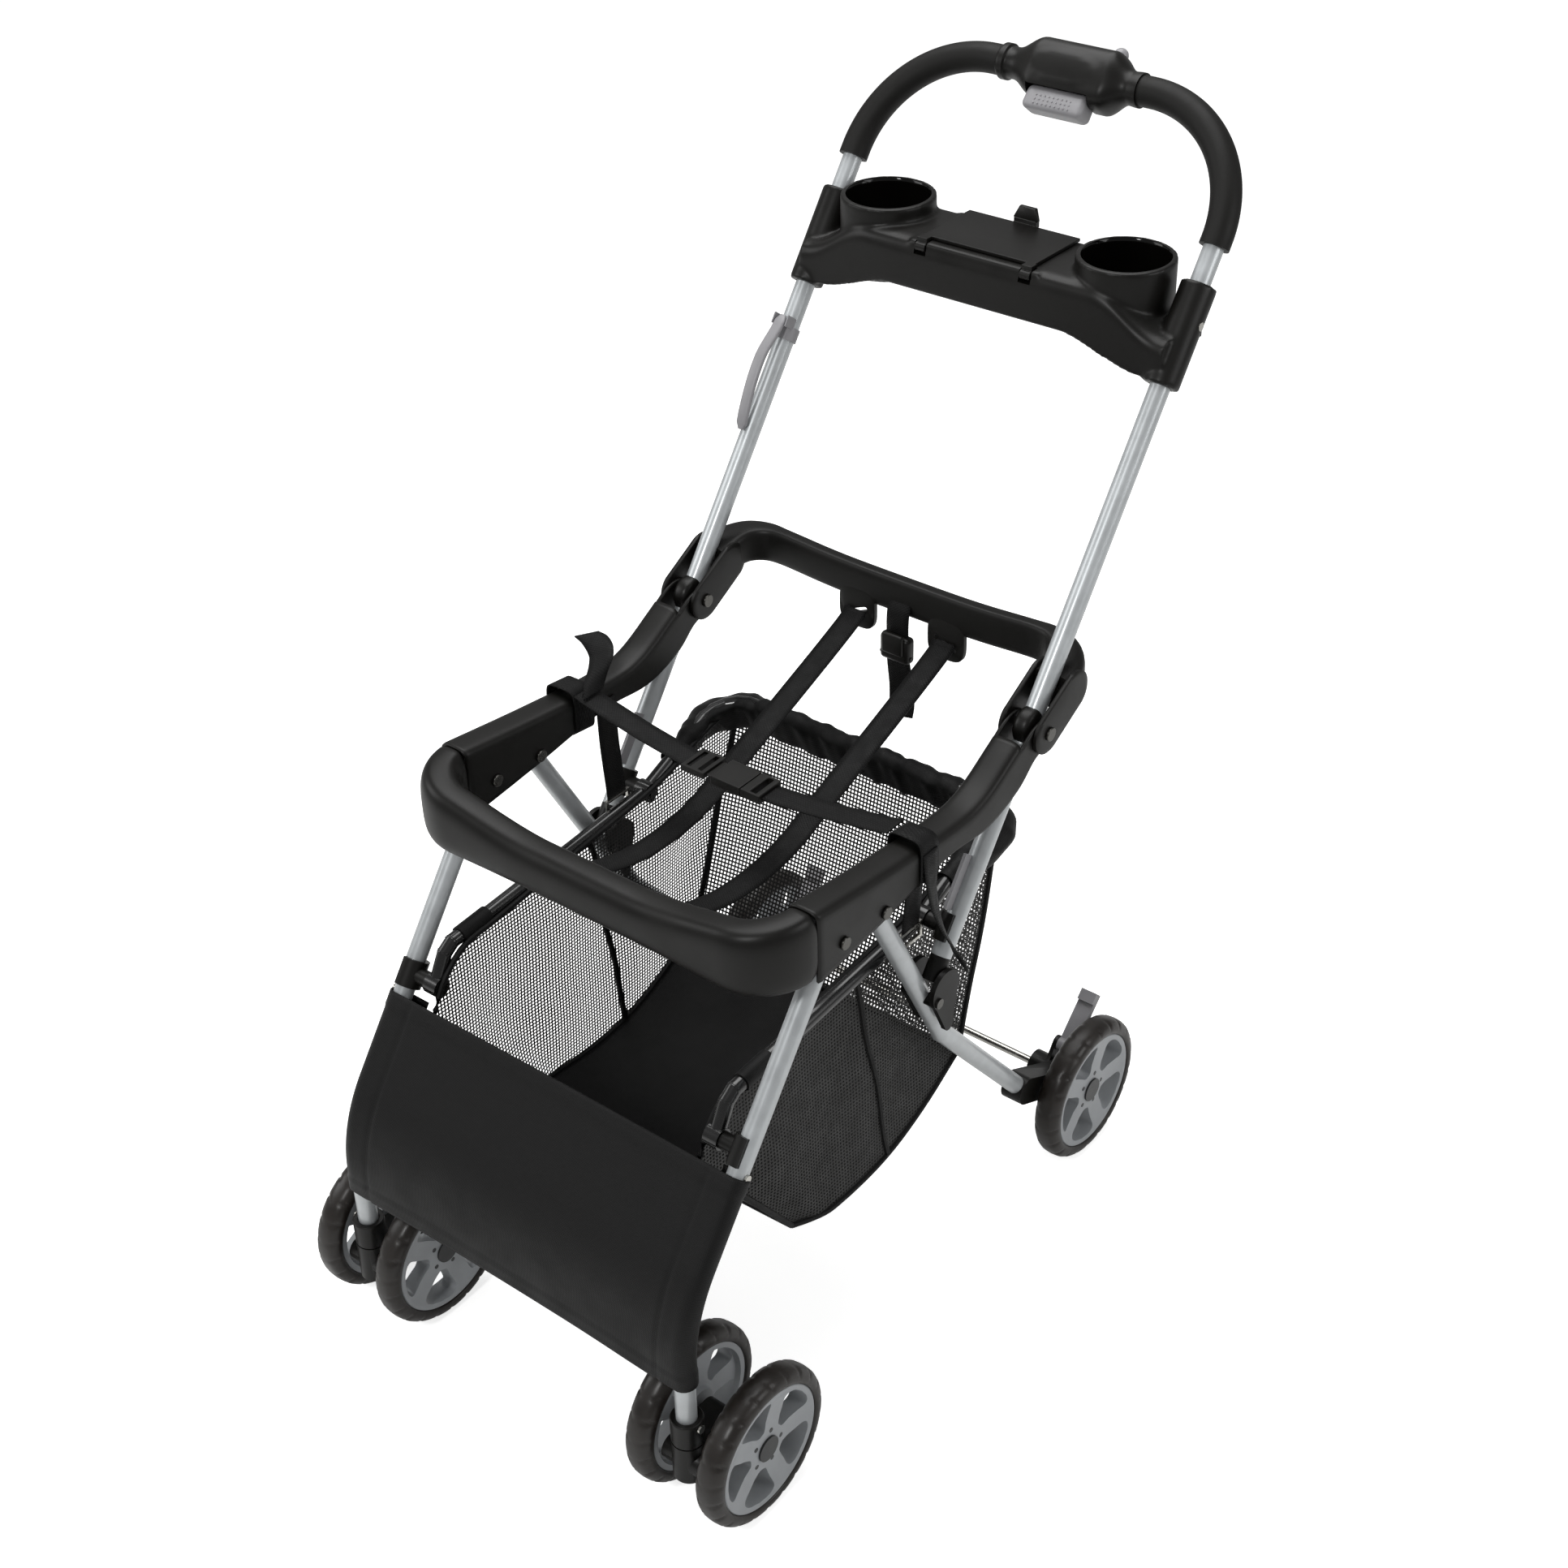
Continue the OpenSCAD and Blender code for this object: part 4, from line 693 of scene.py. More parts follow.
def cup_liner(sign):
    """The glossy inside of a cup, from just under its rim."""
    middle = Vector((sign * CUP_X, CUP_Y, DECK + CUP_RISE))
    profile = [(1.6, -1.2), (1.0, -1.2), (0.2, -2.6), (0, -6), (-0.4, -62), (-3, -67.4)]
    rows = [(CUP_R + r * MM, z * MM) for r, z in profile] + [(0, -67.7 * MM)]

    def place(u, v):
        radius, z = rows[round(v * (len(rows) - 1))]
        angle = 2 * math.pi * u
        return middle + Vector((radius * math.cos(angle), radius * math.sin(angle), z))

    bm = mapped_grid(72, len(rows) - 1, place)
    bmesh.ops.remove_doubles(bm, verts=bm.verts, dist=1e-6)
    return bm


class STROLLER_OT_parent_tray(bpy.types.Operator):
    """Moulds the parent tray with its cups and the tab of its lid"""

    bl_idname = "stroller.parent_tray"
    bl_label = "Parent tray"

    def execute(self, context):
        piece("tray_body", tray_body(), "handle", "plastic", ("parent_tray",), 50)
        liners = merged([cup_liner(sign) for sign in SIDES.values()])
        piece("cup_liners", liners, "handle", "gloss", (), 60)
        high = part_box("tray_lid")[1]
        edge = Vector((0, high.y, high.z))
        tab = block(edge - mm(13.5, 6, 1.5), edge + mm(13.5, -1, 10.5), 1.6 * MM)
        for vert in tab.verts:
            rise = smooth_step(0, 10.5 * MM, vert.co.z - high.z)
            vert.co.x *= 1 - 0.32 * rise
            vert.co.y += 2.5 * MM * rise
        piece("lid_tab", tab, "tray_lid", "satin", (), 40)
        return {"FINISHED"}


NECK_R = 14.6 * MM
TRIGGER_HALF = 32 * MM
TRIGGER_LOW = 524 * MM
TRIGGER_HIGH = 547 * MM
HOUSING_LIP = 543.5 * MM


def handle_block(low, high, rounding=0.0, segments=3):
    """A box whose corners are given in the handle's frame."""
    bm = block(low, high, rounding, segments)
    turn = Matrix((ACROSS, TUBE_OUT, TUBE_UP)).transposed().to_4x4()
    bmesh.ops.transform(bm, matrix=Matrix.Translation(HANDLE_PIVOT) @ turn, verts=bm.verts)
    return bm


def housing_section(x):
    """The housing at one place across: a swollen middle, two necks and a collar at the left grip."""
    reach = abs(x) / MM
    body = 1 - smooth_step(42, 66, reach) if x > 0 else 1 - smooth_step(30, 60, reach)
    collar = 2.2 * MM * smooth_step(65.5, 67, reach) - 1.6 * MM * smooth_step(73, 75, reach)
    if x > 0:
        collar = 1.2 * MM * smooth_step(58, 74, reach)
    tall = NECK_R + 13.2 * MM * body + collar
    deep = NECK_R + 8.6 * MM * body + collar
    ring = []
    for k in range(56):
        run, out = oval(2 * math.pi * k / 56, tall, deep, 2 + 0.9 * body)
        lens = (x / (40 * MM)) ** 2 + (run / (16 * MM)) ** 2
        if out < 0:
            out -= 0.9 * MM * (1 - smooth_step(0.75, 1.0, lens))
        ring.append(on_handle(x, out, HANDLE_RUN + run))
    return ring


class STROLLER_OT_housing(bpy.types.Operator):
    """Moulds the housing in the middle of the handle, with its trigger"""

    bl_idname = "stroller.housing"
    bl_label = "Handle housing"

    def execute(self, context):
        right = [2.5 * k for k in range(1, 27)] + [66, 66.5, 67, 69, 71, 73, 73.7, 74.3, 74.7, 75]
        stations = [-x * MM for x in reversed(right)] + [0] + [x * MM for x in right]
        wide = TRIGGER_HALF + 0.8 * MM
        cuts = [
            handle_block(Vector((-wide, -0.05, 0.5)), Vector((wide, 0.05, HOUSING_LIP))),
            handle_block(Vector((-wide, -19.6 * MM, 0.5)), Vector((wide, 10 * MM, TRIGGER_HIGH + 9 * MM))),
        ]
        shell = fused([looped(housing_section, stations)], cuts=cuts)
        obj = piece("housing_shell", shell, "handle", "plastic", ("housing_front", "housing_rear"), 40)
        rounded(obj, 0.9 * MM)
        low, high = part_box("thumb_button")
        middle = (low + high) / 2
        dome = bmesh.new()
        bmesh.ops.create_uvsphere(dome, u_segments=28, v_segments=16, radius=7 * MM)
        run = (middle - HANDLE_PIVOT).dot(TUBE_UP)
        bmesh.ops.translate(dome, verts=dome.verts, vec=on_handle(middle.x, 0, run - 1 * MM))
        piece("thumb_dome", dome, "thumb_button", "grey", ("thumb_button",), 60)
        piece("trigger_paddle", self.paddle(), "trigger", "grey", ("trigger",), 40)
        return {"FINISHED"}

    def paddle(self):
        """The trigger: a rounded block that leans in at its top, with three rows of dots."""
        front = -18 * MM
        low = Vector((-TRIGGER_HALF, front, TRIGGER_LOW))
        parts = [block(low, Vector((TRIGGER_HALF, 8 * MM, TRIGGER_HIGH)), 6 * MM, 5)]
        for row in (5, 9, 13):
            for k in range(-4, 5):
                dot = bmesh.new()
                bmesh.ops.create_icosphere(dot, subdivisions=2, radius=0.95 * MM)
                place = Vector((4.6 * MM * k, front + 0.1 * MM, TRIGGER_LOW + row * MM))
                bmesh.ops.translate(dot, verts=dot.verts, vec=place)
                parts.append(dot)
        bm = merged(parts)
        for vert in bm.verts:
            lean = 3.2 * MM * (vert.co.z - TRIGGER_LOW) / (TRIGGER_HIGH - TRIGGER_LOW)
            out = vert.co.y + lean * smooth_step(0, front, vert.co.y)
            vert.co = on_handle(vert.co.x, out, vert.co.z)
        return bm


LATCH_RUN = (ANCHOR["latch_swing"] - HANDLE_PIVOT).dot(TUBE_UP)
LATCH_OUT = (ANCHOR["latch_swing"] - HANDLE_PIVOT).dot(TUBE_OUT)
LATCH_LENGTH = 116 * MM
KNUCKLE_R = 18.5 * MM
KNUCKLE_HALF = 10.6 * MM


def islands(bm):
    """The connected groups of vertices of a shape."""
    left = set(bm.verts)
    groups = []
    while left:
        group = set()
        edge = [left.pop()]
        while edge:
            vert = edge.pop()
            group.add(vert)
            near = {e.other_vert(vert) for e in vert.link_edges} & left
            left -= near
            edge.extend(near)
        groups.append(group)
    return groups


class STROLLER_OT_latch(bpy.types.Operator):
    """Shapes the storage latch as a slim bowed lever with its clip"""

    bl_idname = "stroller.latch"
    bl_label = "Storage latch"

    def execute(self, context):
        stations = [k / 40 for k in range(41)]
        piece("latch_lever", looped(self.section, stations), "fold_latch", "grey", ("fold_latch",), 40)
        bm = cad_copy("tube_fittings")
        for group in islands(bm):
            middle = sum((v.co for v in group), Vector()) / len(group)
            pivot = HANDLE_PIVOT + ACROSS * math.copysign(TUBE_X, middle.x)
            if (middle - ANCHOR["latch_swing"]).length < 30 * MM or (middle - pivot).length < 10 * MM:
                bmesh.ops.delete(bm, geom=list(group), context="VERTS")
        rounded(piece("tube_knuckles", bm, "handle", "plastic", ("tube_fittings",), 40), 2.5 * MM)
        drums = merged([self.drum(sign * TUBE_X) for sign in SIDES.values()])
        piece("knuckle_drums", drums, "handle", "plastic", ("tube_fittings",), 60)
        clip = [handle_block(self.corner(s, -1), self.corner(s, 1), 0.4 * MM) for s in SIDES.values()]
        band = [on_handle(-TUBE_X, 0, LATCH_RUN - step * MM) for step in (16, 3)]
        inner = [on_handle(-TUBE_X, 0, LATCH_RUN - step * MM) for step in (18, 1)]
        clip.append(fused([post(*band, TUBE_R + 1.6 * MM)], cuts=[post(*inner, TUBE_R + 0.2 * MM)]))
        piece("latch_clip", merged(clip), "handle", "grey", ("tube_fittings",), 40)
        return {"FINISHED"}

    def drum(self, x):
        """The round knuckle of a handle tube on its pivot, soft at its edges."""

        def place(u, v):
            half, radius = oval(math.pi * (1 - v), KNUCKLE_HALF, KNUCKLE_R, 3)
            return HANDLE_PIVOT + ACROSS * x + spun(half, radius, 2 * math.pi * u)

        return closed_tube(64, 28, place, caps=False)

    def corner(self, side, end):
        """A corner of one of the clip's two cheeks."""
        x = -TUBE_X + side * 8 * MM + end * 0.7 * MM
        return Vector((x, LATCH_OUT - 3.5 * MM if end < 0 else -5 * MM, LATCH_RUN + end * 5.5 * MM))

    def section(self, share):
        """The lever's outline at one share of its length."""
        run = LATCH_RUN + 5 * MM - LATCH_LENGTH * share
        bow = LATCH_OUT - 8 * MM * math.sin(math.pi * min(1, share * 1.1))
        bow += 3 * MM * smooth_step(0.88, 1, share)
        end = 1 - 0.55 * smooth_step(0.95, 1, share) - 0.5 * (1 - smooth_step(0, 0.05, share))
        ring = []
        for k in range(20):
            x, out = oval(2 * math.pi * k / 20, 6 * MM * end, 2.7 * MM * end, 3)
            ring.append(on_handle(-TUBE_X - 3 * MM * smooth_step(0.1, 0.4, share) + x, bow + out, run))
        return ring


# Seat ring

SEAM_Y = -245.5 * MM
RAIL_HALF = 16 * MM
RAIL_TOP = 569 * MM
RAIL_BOTTOM = 499 * MM
BAR_MID_TOP = 548 * MM
BAR_RADIUS = 42 * MM
BAR_HALF = 18 * MM
SEAM_GROOVE = 1.2 * MM
RAIL_OPEN = 46 * MM


def bumper_bar():
    """The bar across the front: a tall rounded section bent round two corners, lower in the middle."""
    arc = BAR_RADIUS * math.pi / 2
    flat = 2 * (TUBE_X - BAR_RADIUS)
    total = 2 * arc + flat

    def place(u, v):
        s = v * total
        if s < arc:
            turn = s / BAR_RADIUS
            centre = Vector((-TUBE_X + BAR_RADIUS, SEAM_Y, 0))
        elif s < arc + flat:
            turn = math.pi / 2
            centre = Vector((-TUBE_X + BAR_RADIUS + s - arc, SEAM_Y, 0))
        else:
            turn = math.pi / 2 + (s - arc - flat) / BAR_RADIUS
            centre = Vector((TUBE_X - BAR_RADIUS, SEAM_Y, 0))
        out = Vector((-math.cos(turn), -math.sin(turn), 0))
        from_end = min(s, total - s)
        blend = smooth_step(0, 170 * MM, from_end)
        top = RAIL_TOP + (BAR_MID_TOP - RAIL_TOP) * blend
        bottom = RAIL_BOTTOM + 3 * MM * blend
        half = RAIL_HALF + (BAR_HALF - RAIL_HALF) * smooth_step(0, 40 * MM, from_end)
        shrink = 1 - 0.06 * (1 - smooth_step(0, 1.6 * MM, from_end))
        n, z = oval(2 * math.pi * u, half * shrink, (top - bottom) / 2 * shrink, 3.6 - blend * 0.9)
        return centre + out * (BAR_RADIUS + n) + UP * ((top + bottom) / 2 + z)

    return closed_tube(40, 120, place)


RAIL_UPPER = [
    (-245.0, 569), (-145.5, 556), (-55, 547), (-10, 551), (36, 574),
    (62, 589), (80.5, 592), (94, 585), (98.8, 573),
]
RAIL_LOWER = [
    (-245.0, 499), (-165.5, 508), (-68.5, 521), (-5.5, 518), (40, 531),
    (66, 550), (84, 556), (94, 562), (98.8, 572),
]


def side_rail():
    """The right side rail: a channel open below, with a crowned top and a waist."""
    upper = [mm(0, y, z) for y, z in RAIL_UPPER]
    lower = [mm(0, y, z) for y, z in RAIL_LOWER]

    def place(u, v):
        top, bottom = along(upper, v), along(lower, v)
        height = max((top - bottom).length, 1e-5)
        crown = min(11 * MM, height * 0.5) / height
        edge = 1 - smooth_step(0, 0.004, v)
        half = RAIL_HALF - SEAM_GROOVE * edge
        if u < 0.3:
            x, rise = -half, (1 - crown) * u / 0.3
        elif u > 0.7:
            x, rise = half, (1 - crown) * (1 - u) / 0.3
        else:
            x, lift = oval(math.pi * (1 - (u - 0.3) / 0.4), half, crown, 3.2)
            rise = 1 - crown + lift
        return ACROSS * (TUBE_X + x) + bottom + (top - bottom) * rise

    bm = mapped_grid(40, 90, place)
    middles = {face: face.calc_center_median() for face in bm.faces}
    # The top is open where the handle's knuckle stands in the rail
    crown = [f for f, m in middles.items() if m.y > RAIL_OPEN and abs(m.x - TUBE_X) < 0.99 * RAIL_HALF]
    bmesh.ops.delete(bm, geom=crown, context="FACES")
    return bm


HOOP_BACK = 172.5 * MM
HOOP_LOW = 581 * MM
HOOP_HIGH = 617 * MM
HOOP_HALF = 8 * MM
FORK_HALF = 21 * MM
HOOP_BEND = 42 * MM


def hoop_band():
    """The band behind the handle tubes, from one fork round to the other."""
    mid_y = HOOP_BACK - HOOP_HALF
    corner_y = mid_y - HOOP_BEND
    start_y = 112 * MM
    straight = corner_y - start_y
    arc = HOOP_BEND * math.pi / 2
    flat = 2 * (TUBE_X - HOOP_BEND)
    total = 2 * (straight + arc) + flat

    def place(u, v):
        s = v * total
        mirror = s > total / 2
        d = total - s if mirror else s
        if d < straight:
            centre = Vector((TUBE_X, start_y + d, 0))
            out = ACROSS
        elif d < straight + arc:
            turn = (d - straight) / HOOP_BEND
            out = Vector((math.cos(turn), math.sin(turn), 0))
            centre = Vector((TUBE_X - HOOP_BEND, corner_y, 0)) + out * HOOP_BEND
        else:
            out = BACK
            centre = Vector((TUBE_X - HOOP_BEND - (d - straight - arc), mid_y, 0))
        slim = smooth_step(straight * 0.6, straight + arc * 1.25, d)
        half = FORK_HALF + (HOOP_HALF - FORK_HALF) * slim
        drop = 6 * MM * (1 - smooth_step(0, straight + arc * 0.6, d))
        rise = 5 * MM * math.exp(-(((d - straight - arc * 0.9) / (60 * MM)) ** 2))
        n, z = oval(2 * math.pi * u, half, (HOOP_HIGH - HOOP_LOW) / 2, 4.2)
        point = centre + out * n + UP * ((HOOP_HIGH + HOOP_LOW) / 2 + z + rise - drop)
        point.y = min(point.y, HOOP_BACK)
        if mirror:
            point.x = -point.x
        return point

    return closed_tube(32, 150, place)


# An ear from face to face: the share of its half thickness and of its outline
EAR_RING = [
    (-1.0, 0.0), (-1.0, 0.86), (-0.9, 0.965), (-0.55, 1.0),
    (0.55, 1.0), (0.9, 0.965), (1.0, 0.86), (1.0, 0.0),
]


def fork_ear(x_middle, half_thick):
    """A round ear beside the pivot that runs back into the band."""
    centre = HANDLE_PIVOT + ACROSS * x_middle
    tail = Vector((x_middle, 122 * MM, 598 * MM))
    axis = tail - centre
    radius = 20 * MM

    def place(u, v):
        angle = 2 * math.pi * u
        lean = math.atan2(axis.z, axis.y)
        y, z = radius * math.cos(angle), radius * math.sin(angle)
        if math.cos(angle - lean) > 0:
            y += axis.y
            z += axis.z * 0.9
        x, grow = EAR_RING[round(v * 7)]
        middle = axis * 0.5
        y0, z0 = middle.y, middle.z
        return centre + Vector((x * half_thick, y0 + (y - y0) * grow, z0 + (z - z0) * grow))

    return closed_tube(48, 7, place, caps=False)


LUG_X = 52 * MM


def strap_lug(side):
    """A lug under the band with a slanted slot for a harness strap."""
    middle = Vector((side * LUG_X, HOOP_BACK - 2 * HOOP_HALF + 3 * MM, 573 * MM))
    tilt = side * math.radians(-25)

    def outline(angle):
        return oval(angle, 21 * MM, 22 * MM, 3.4)

    def slot(angle):
        u, v = oval(angle, 13.5 * MM, 2.4 * MM, 4)
        return u * math.cos(tilt) - v * math.sin(tilt), u * math.sin(tilt) + v * math.cos(tilt) - 4 * MM

    ring = [(-3, 0.0), (-3, 0.9), (-2.2, 1.0), (2.2, 1.0), (3, 0.9), (3, 0.0), (-3, 0.0)]

    def place(u, v):
        angle = 2 * math.pi * u
        depth, share = ring[round(v * 6)]
        a, b = slot(angle), outline(angle)
        x, z = (a[i] + (b[i] - a[i]) * share for i in (0, 1))
        return middle + Vector((x, depth * MM, z))

    return closed_tube(48, 6, place, caps=False)


class STROLLER_OT_seat_ring(bpy.types.Operator):
    """Models the ring of rails that takes the car seat"""

    bl_idname = "stroller.seat_ring"
    bl_label = "Seat ring"

    def execute(self, context):
        piece("bumper_bar", bumper_bar(), "seat_ring", "satin", ("front_bar",), 50)
        for side, shape in (("right", side_rail()), ("left", mirrored(side_rail()))):
            rail = piece(f"rail_{side}", shape, "seat_ring", "satin", (f"side_rail_{side}",), 50)
            thicken(rail, 2.8 * MM, -1)
        parts = [hoop_band()]
        for sign in SIDES.values():
            for offset in (-18.7 * MM, 18.7 * MM):
                parts.append(fork_ear(sign * TUBE_X + offset, 2.5 * MM))
            parts.append(strap_lug(sign))
        piece("rear_hoop", merged(parts), "seat_ring", "satin", ("rear_rail",), 40)
        return {"FINISHED"}


# Straps

STRAP_FALL = [
    (-268.2, 524), (-262, 512), (-240, 495), (-205, 480), (-165, 471), (-120, 470),
    (-80, 477), (-40, 492), (40, 522), (110, 549), (150, 566), (154.5, 572),
]
BELT_Y = -94.5 * MM
BELT_TOP = 556 * MM
BELT_LOW = 511 * MM
# The belt's loose tails: their paths, and their width directions along them
TAIL_UP = [
    (-168, -93, 556), (-172, -84, 568), (-176, -72, 577),
    (-184, -62, 583), (-196, -57, 588), (-207, -56, 590),
]
TURN_UP = [BACK, (0.7, 0.6, 0.4), (0.6, 0.7, 0.3), *[(0.35, 0.9, -0.1)] * 3]
TAIL_DOWN = [
    (215.5, -95, 546), (217, -95, 520), (218, -91, 490),
    (221, -80, 455), (224, -66, 425), (226, -58, 405),
]
TURN_DOWN = [BACK, BACK, (-0.3, 0.9, 0.2), (-0.8, 0.55, 0.1), (-0.9, 0.4, 0), (-0.85, 0.5, 0)]


def strip(rows, width, steps, turns):
    """Webbing through points in millimetres, with its width direction at each."""
    return ribbon([mm(*row) for row in rows], width, steps, [Vector(turn) for turn in turns])


def strap_piece(name, parts, node, sizes):
    """Joins strips of webbing into one piece of its real thickness."""
    obj = piece(name, merged(parts), "seat_ring", "webbing", (node,))
    return thicken(obj, sizes.webbing_thickness)


def belt_loop(side, width):
    """Webbing round a side rail."""
    half = RAIL_HALF + 1.4 * MM
    middle = Vector((side * TUBE_X, BELT_Y, (BELT_TOP + BELT_LOW) / 2 + 1 * MM))

    def place(u, v):
        x, z = oval(2 * math.pi * v, half, (BELT_TOP - BELT_LOW) / 2 + 1 * MM, 5)
        return middle + Vector((x, (u - 0.5) * width, z + (u - 0.5) * -3 * MM))

    bm = mapped_grid(4, 48, place, (width, 160 * MM))
    bmesh.ops.remove_doubles(bm, verts=bm.verts, dist=1e-6)
    return bm


def belt_half(side, end_x, width):
    """Webbing from a rail's loop down to the buckle in the middle."""
    edge = side * (TUBE_X - RAIL_HALF - 2 * MM)
    rows = [(0.0, 556.5), (0.08, 553), (0.25, 548.5), (0.5, 542), (0.75, 537), (0.92, 534.5), (1.0, 534)]
    path = [Vector((edge + (end_x - edge) * t, BELT_Y, z * MM)) for t, z in rows]
    return ribbon(path, width, 40, [BACK] * len(path))


class STROLLER_OT_harness(bpy.types.Operator):
    """Lays the two straps along the ring"""

    bl_idname = "stroller.harness"
    bl_label = "Harness straps"

    def execute(self, context):
        sizes = context.scene.stroller_sizes
        straps = []
        for sign in SIDES.values():
            rows = [(sign * LUG_X / MM, y, z) for y, z in STRAP_FALL]
            straps.append(strip(rows, sizes.webbing_width, 70, [ACROSS] * len(rows)))
        strap_piece("harness_webbing", straps, "harness_straps", sizes)
        return {"FINISHED"}


class STROLLER_OT_waist_belt(bpy.types.Operator):
    """Lays the belt across the ring, with its loops and loose tails"""

    bl_idname = "stroller.waist_belt"
    bl_label = "Waist belt"

    def execute(self, context):
        sizes = context.scene.stroller_sizes
        width = sizes.webbing_width
        for side, buckle_x, slim, tail, turns in (
            ("left", -40 * MM, 1.0, TAIL_UP, TURN_UP),
            ("right", 36 * MM, 0.8, TAIL_DOWN, TURN_DOWN),
        ):
            parts = [belt_loop(SIDES[side], width), belt_half(SIDES[side], buckle_x, width)]
            parts.append(strip(tail, width * slim, 30, turns))
            strap_piece(f"belt_webbing_{side}", parts, f"belt_{side}", sizes)
        return {"FINISHED"}


class STROLLER_OT_tether(bpy.types.Operator):
    """Hangs the tether from the middle of the rear hoop"""

    bl_idname = "stroller.tether"
    bl_label = "Tether strap"

    def execute(self, context):
        sizes = context.scene.stroller_sizes
        width = sizes.webbing_width
        upper = [(0, 158, 596), (0, 153.5, 588), (0, 152, 576), (0, 152, 562), (0, 151.5, 550)]
        lower = [(0, 151.5, 552), (1, 153, 530), (3, 155, 505), (5, 153, 485), (6, 149, 474)]
        turns = [ACROSS, ACROSS, (0.96, 0.25, 0), (0.92, 0.35, 0), (0.95, 0.3, 0)]
        straps = [strip(upper, width, 24, [ACROSS] * len(upper)), strip(lower, width, 24, turns)]
        strap_piece("tether_webbing", straps, "tether_strap", sizes)
        piece("tether_cam", self.cam(), "seat_ring", "plastic", ("tether_clip",), 40)
        return {"FINISHED"}

    def cam(self):
        """The tether's adjuster: a rounded body, a press lever in front and its pin."""
        low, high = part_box("tether_clip")
        middle = (low + high) / 2
        body = block(middle - mm(17, 6.5, 15), middle + mm(17, 6.5, 13), 4.5 * MM, 4)
        lever = block(middle - mm(12, 10, 5), middle + mm(12, -4, 17), 2.2 * MM)
        pin = post(middle - mm(18, 1, 9), middle - mm(-18, 1, 9), 2.4 * MM, 24)
        return merged([body, lever, pin])


class STROLLER_OT_support_straps(bpy.types.Operator):
    """Hangs the straps that hold the basket frame from the side rails"""

    bl_idname = "stroller.support_straps"
    bl_label = "Support straps"

    def execute(self, context):
        sizes = context.scene.stroller_sizes
        low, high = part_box("strap_rings")
        y = (low.y + high.y) / 2
        x_low = high.x - 1.2 * MM
        drop = [(179.6 * MM, 532 * MM), (179.6 * MM, 510 * MM), (178.5 * MM, 480 * MM)]
        drop += [(x_low + 1 * MM, high.z + 12 * MM), (x_low, high.z - 1 * MM)]
        parts = []
        for sign in SIDES.values():
            path = [Vector((sign * x, y, z)) for x, z in drop]
            parts.append(ribbon(path, sizes.webbing_width, 30, [BACK] * len(path)))
        obj = strap_piece("support_webbing", parts, "support_straps", sizes)
        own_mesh(obj)
        return {"FINISHED"}


# Front panel

PANEL_TOP_RUN = 214 * MM
LEG_BEND = 150 * MM
LEG_BEND_Z = 191.8 * MM
PANEL_LOW = 171 * MM
SLEEVE = 10.8 * MM
BACK_FLAP = 22 * MM


def leg_line(share):
    """A point on the leg's axis between the panel's top and bottom, and the direction ahead of it."""
    corner = Vector((0, CASTER_Y + LEG_BEND, LEG_BEND_Z))
    top = LEG_PIVOT - TUBE_UP * PANEL_TOP_RUN
    bend = corner + Vector((0, -math.cos(LEAN), math.sin(LEAN))) * LEG_BEND
    lengths = [(top - bend).length, LEG_BEND * LEAN, LEG_BEND_Z - PANEL_LOW]
    d = share * sum(lengths)
    if d < lengths[0]:
        return top + (bend - top) * d / lengths[0], -TUBE_OUT
    d -= lengths[0]
    if d < lengths[1]:
        turn = LEAN - d / LEG_BEND
        ahead = Vector((0, -math.cos(turn), math.sin(turn)))
        return corner + ahead * LEG_BEND, ahead
    d -= lengths[1]
    return Vector((0, CASTER_Y, LEG_BEND_Z - d)), Vector((0, -1, 0))


def panel_place(u, v):
    """The cloth: a back flap, a turn round the leg, the taut front, and the same on the other leg."""
    axis, ahead = leg_line(v)
    wrap = math.pi * SLEEVE
    front = 2 * TUBE_X
    total = 2 * (BACK_FLAP + wrap) + front
    s = u * total
    mirror = s > total / 2
    d = total - s if mirror else s
    hem = 0.7 * MM * (1 - smooth_step(0.07, 0.085, min(v, 1 - v)))
    radius = SLEEVE + hem
    if d < BACK_FLAP:
        x, lift = TUBE_X - BACK_FLAP + d, -radius
    elif d < BACK_FLAP + wrap:
        angle = (d - BACK_FLAP) / SLEEVE - math.pi / 2
        x, lift = TUBE_X + radius * math.cos(angle), radius * math.sin(angle)
    else:
        x = TUBE_X - (d - BACK_FLAP - wrap)
        seam = 1.0 * MM * math.exp(-(((x - TUBE_X + 21 * MM) / (2.2 * MM)) ** 2))
        pull = 4.5 * MM * (1 - (x / TUBE_X) ** 2) * (0.6 + 0.4 * math.sin(math.pi * v))
        fold = 0.8 * MM * math.sin(9 * v + 7 * x / TUBE_X) * (x / TUBE_X) ** 2 * smooth_step(0.5, 1, v)
        lift = radius - pull - seam + fold
    return ACROSS * (-x if mirror else x) + axis + ahead * lift


class STROLLER_OT_front_panel(bpy.types.Operator):
    """Stretches the cloth panel between the front legs"""

    bl_idname = "stroller.front_panel"
    bl_label = "Front panel"

    def execute(self, context):
        sizes = context.scene.stroller_sizes
        width = 2 * (BACK_FLAP + math.pi * SLEEVE + TUBE_X)
        length = run_of([leg_line(k / 50)[0] for k in range(51)])
        bm = mapped_grid(170, 60, panel_place, (width, length))
        obj = piece("panel_cloth", bm, "front_legs", "panel", ("front_panel",), 60)
        thicken(obj, sizes.cloth_thickness, 1)
        return {"FINISHED"}


# Basket

RIM_HALF = 156.5 * MM
FLOOR_HALF = 165 * MM
CORNER_TUCK = 9 * MM
FRAME_X = 165 * MM
TAIL = mm(0, 87.7, 467.9)
TAIL_RUN = Vector((0, 122, 50)).normalized()
TAIL_BEND = 40 * MM
TAPE_R = 3.0 * MM
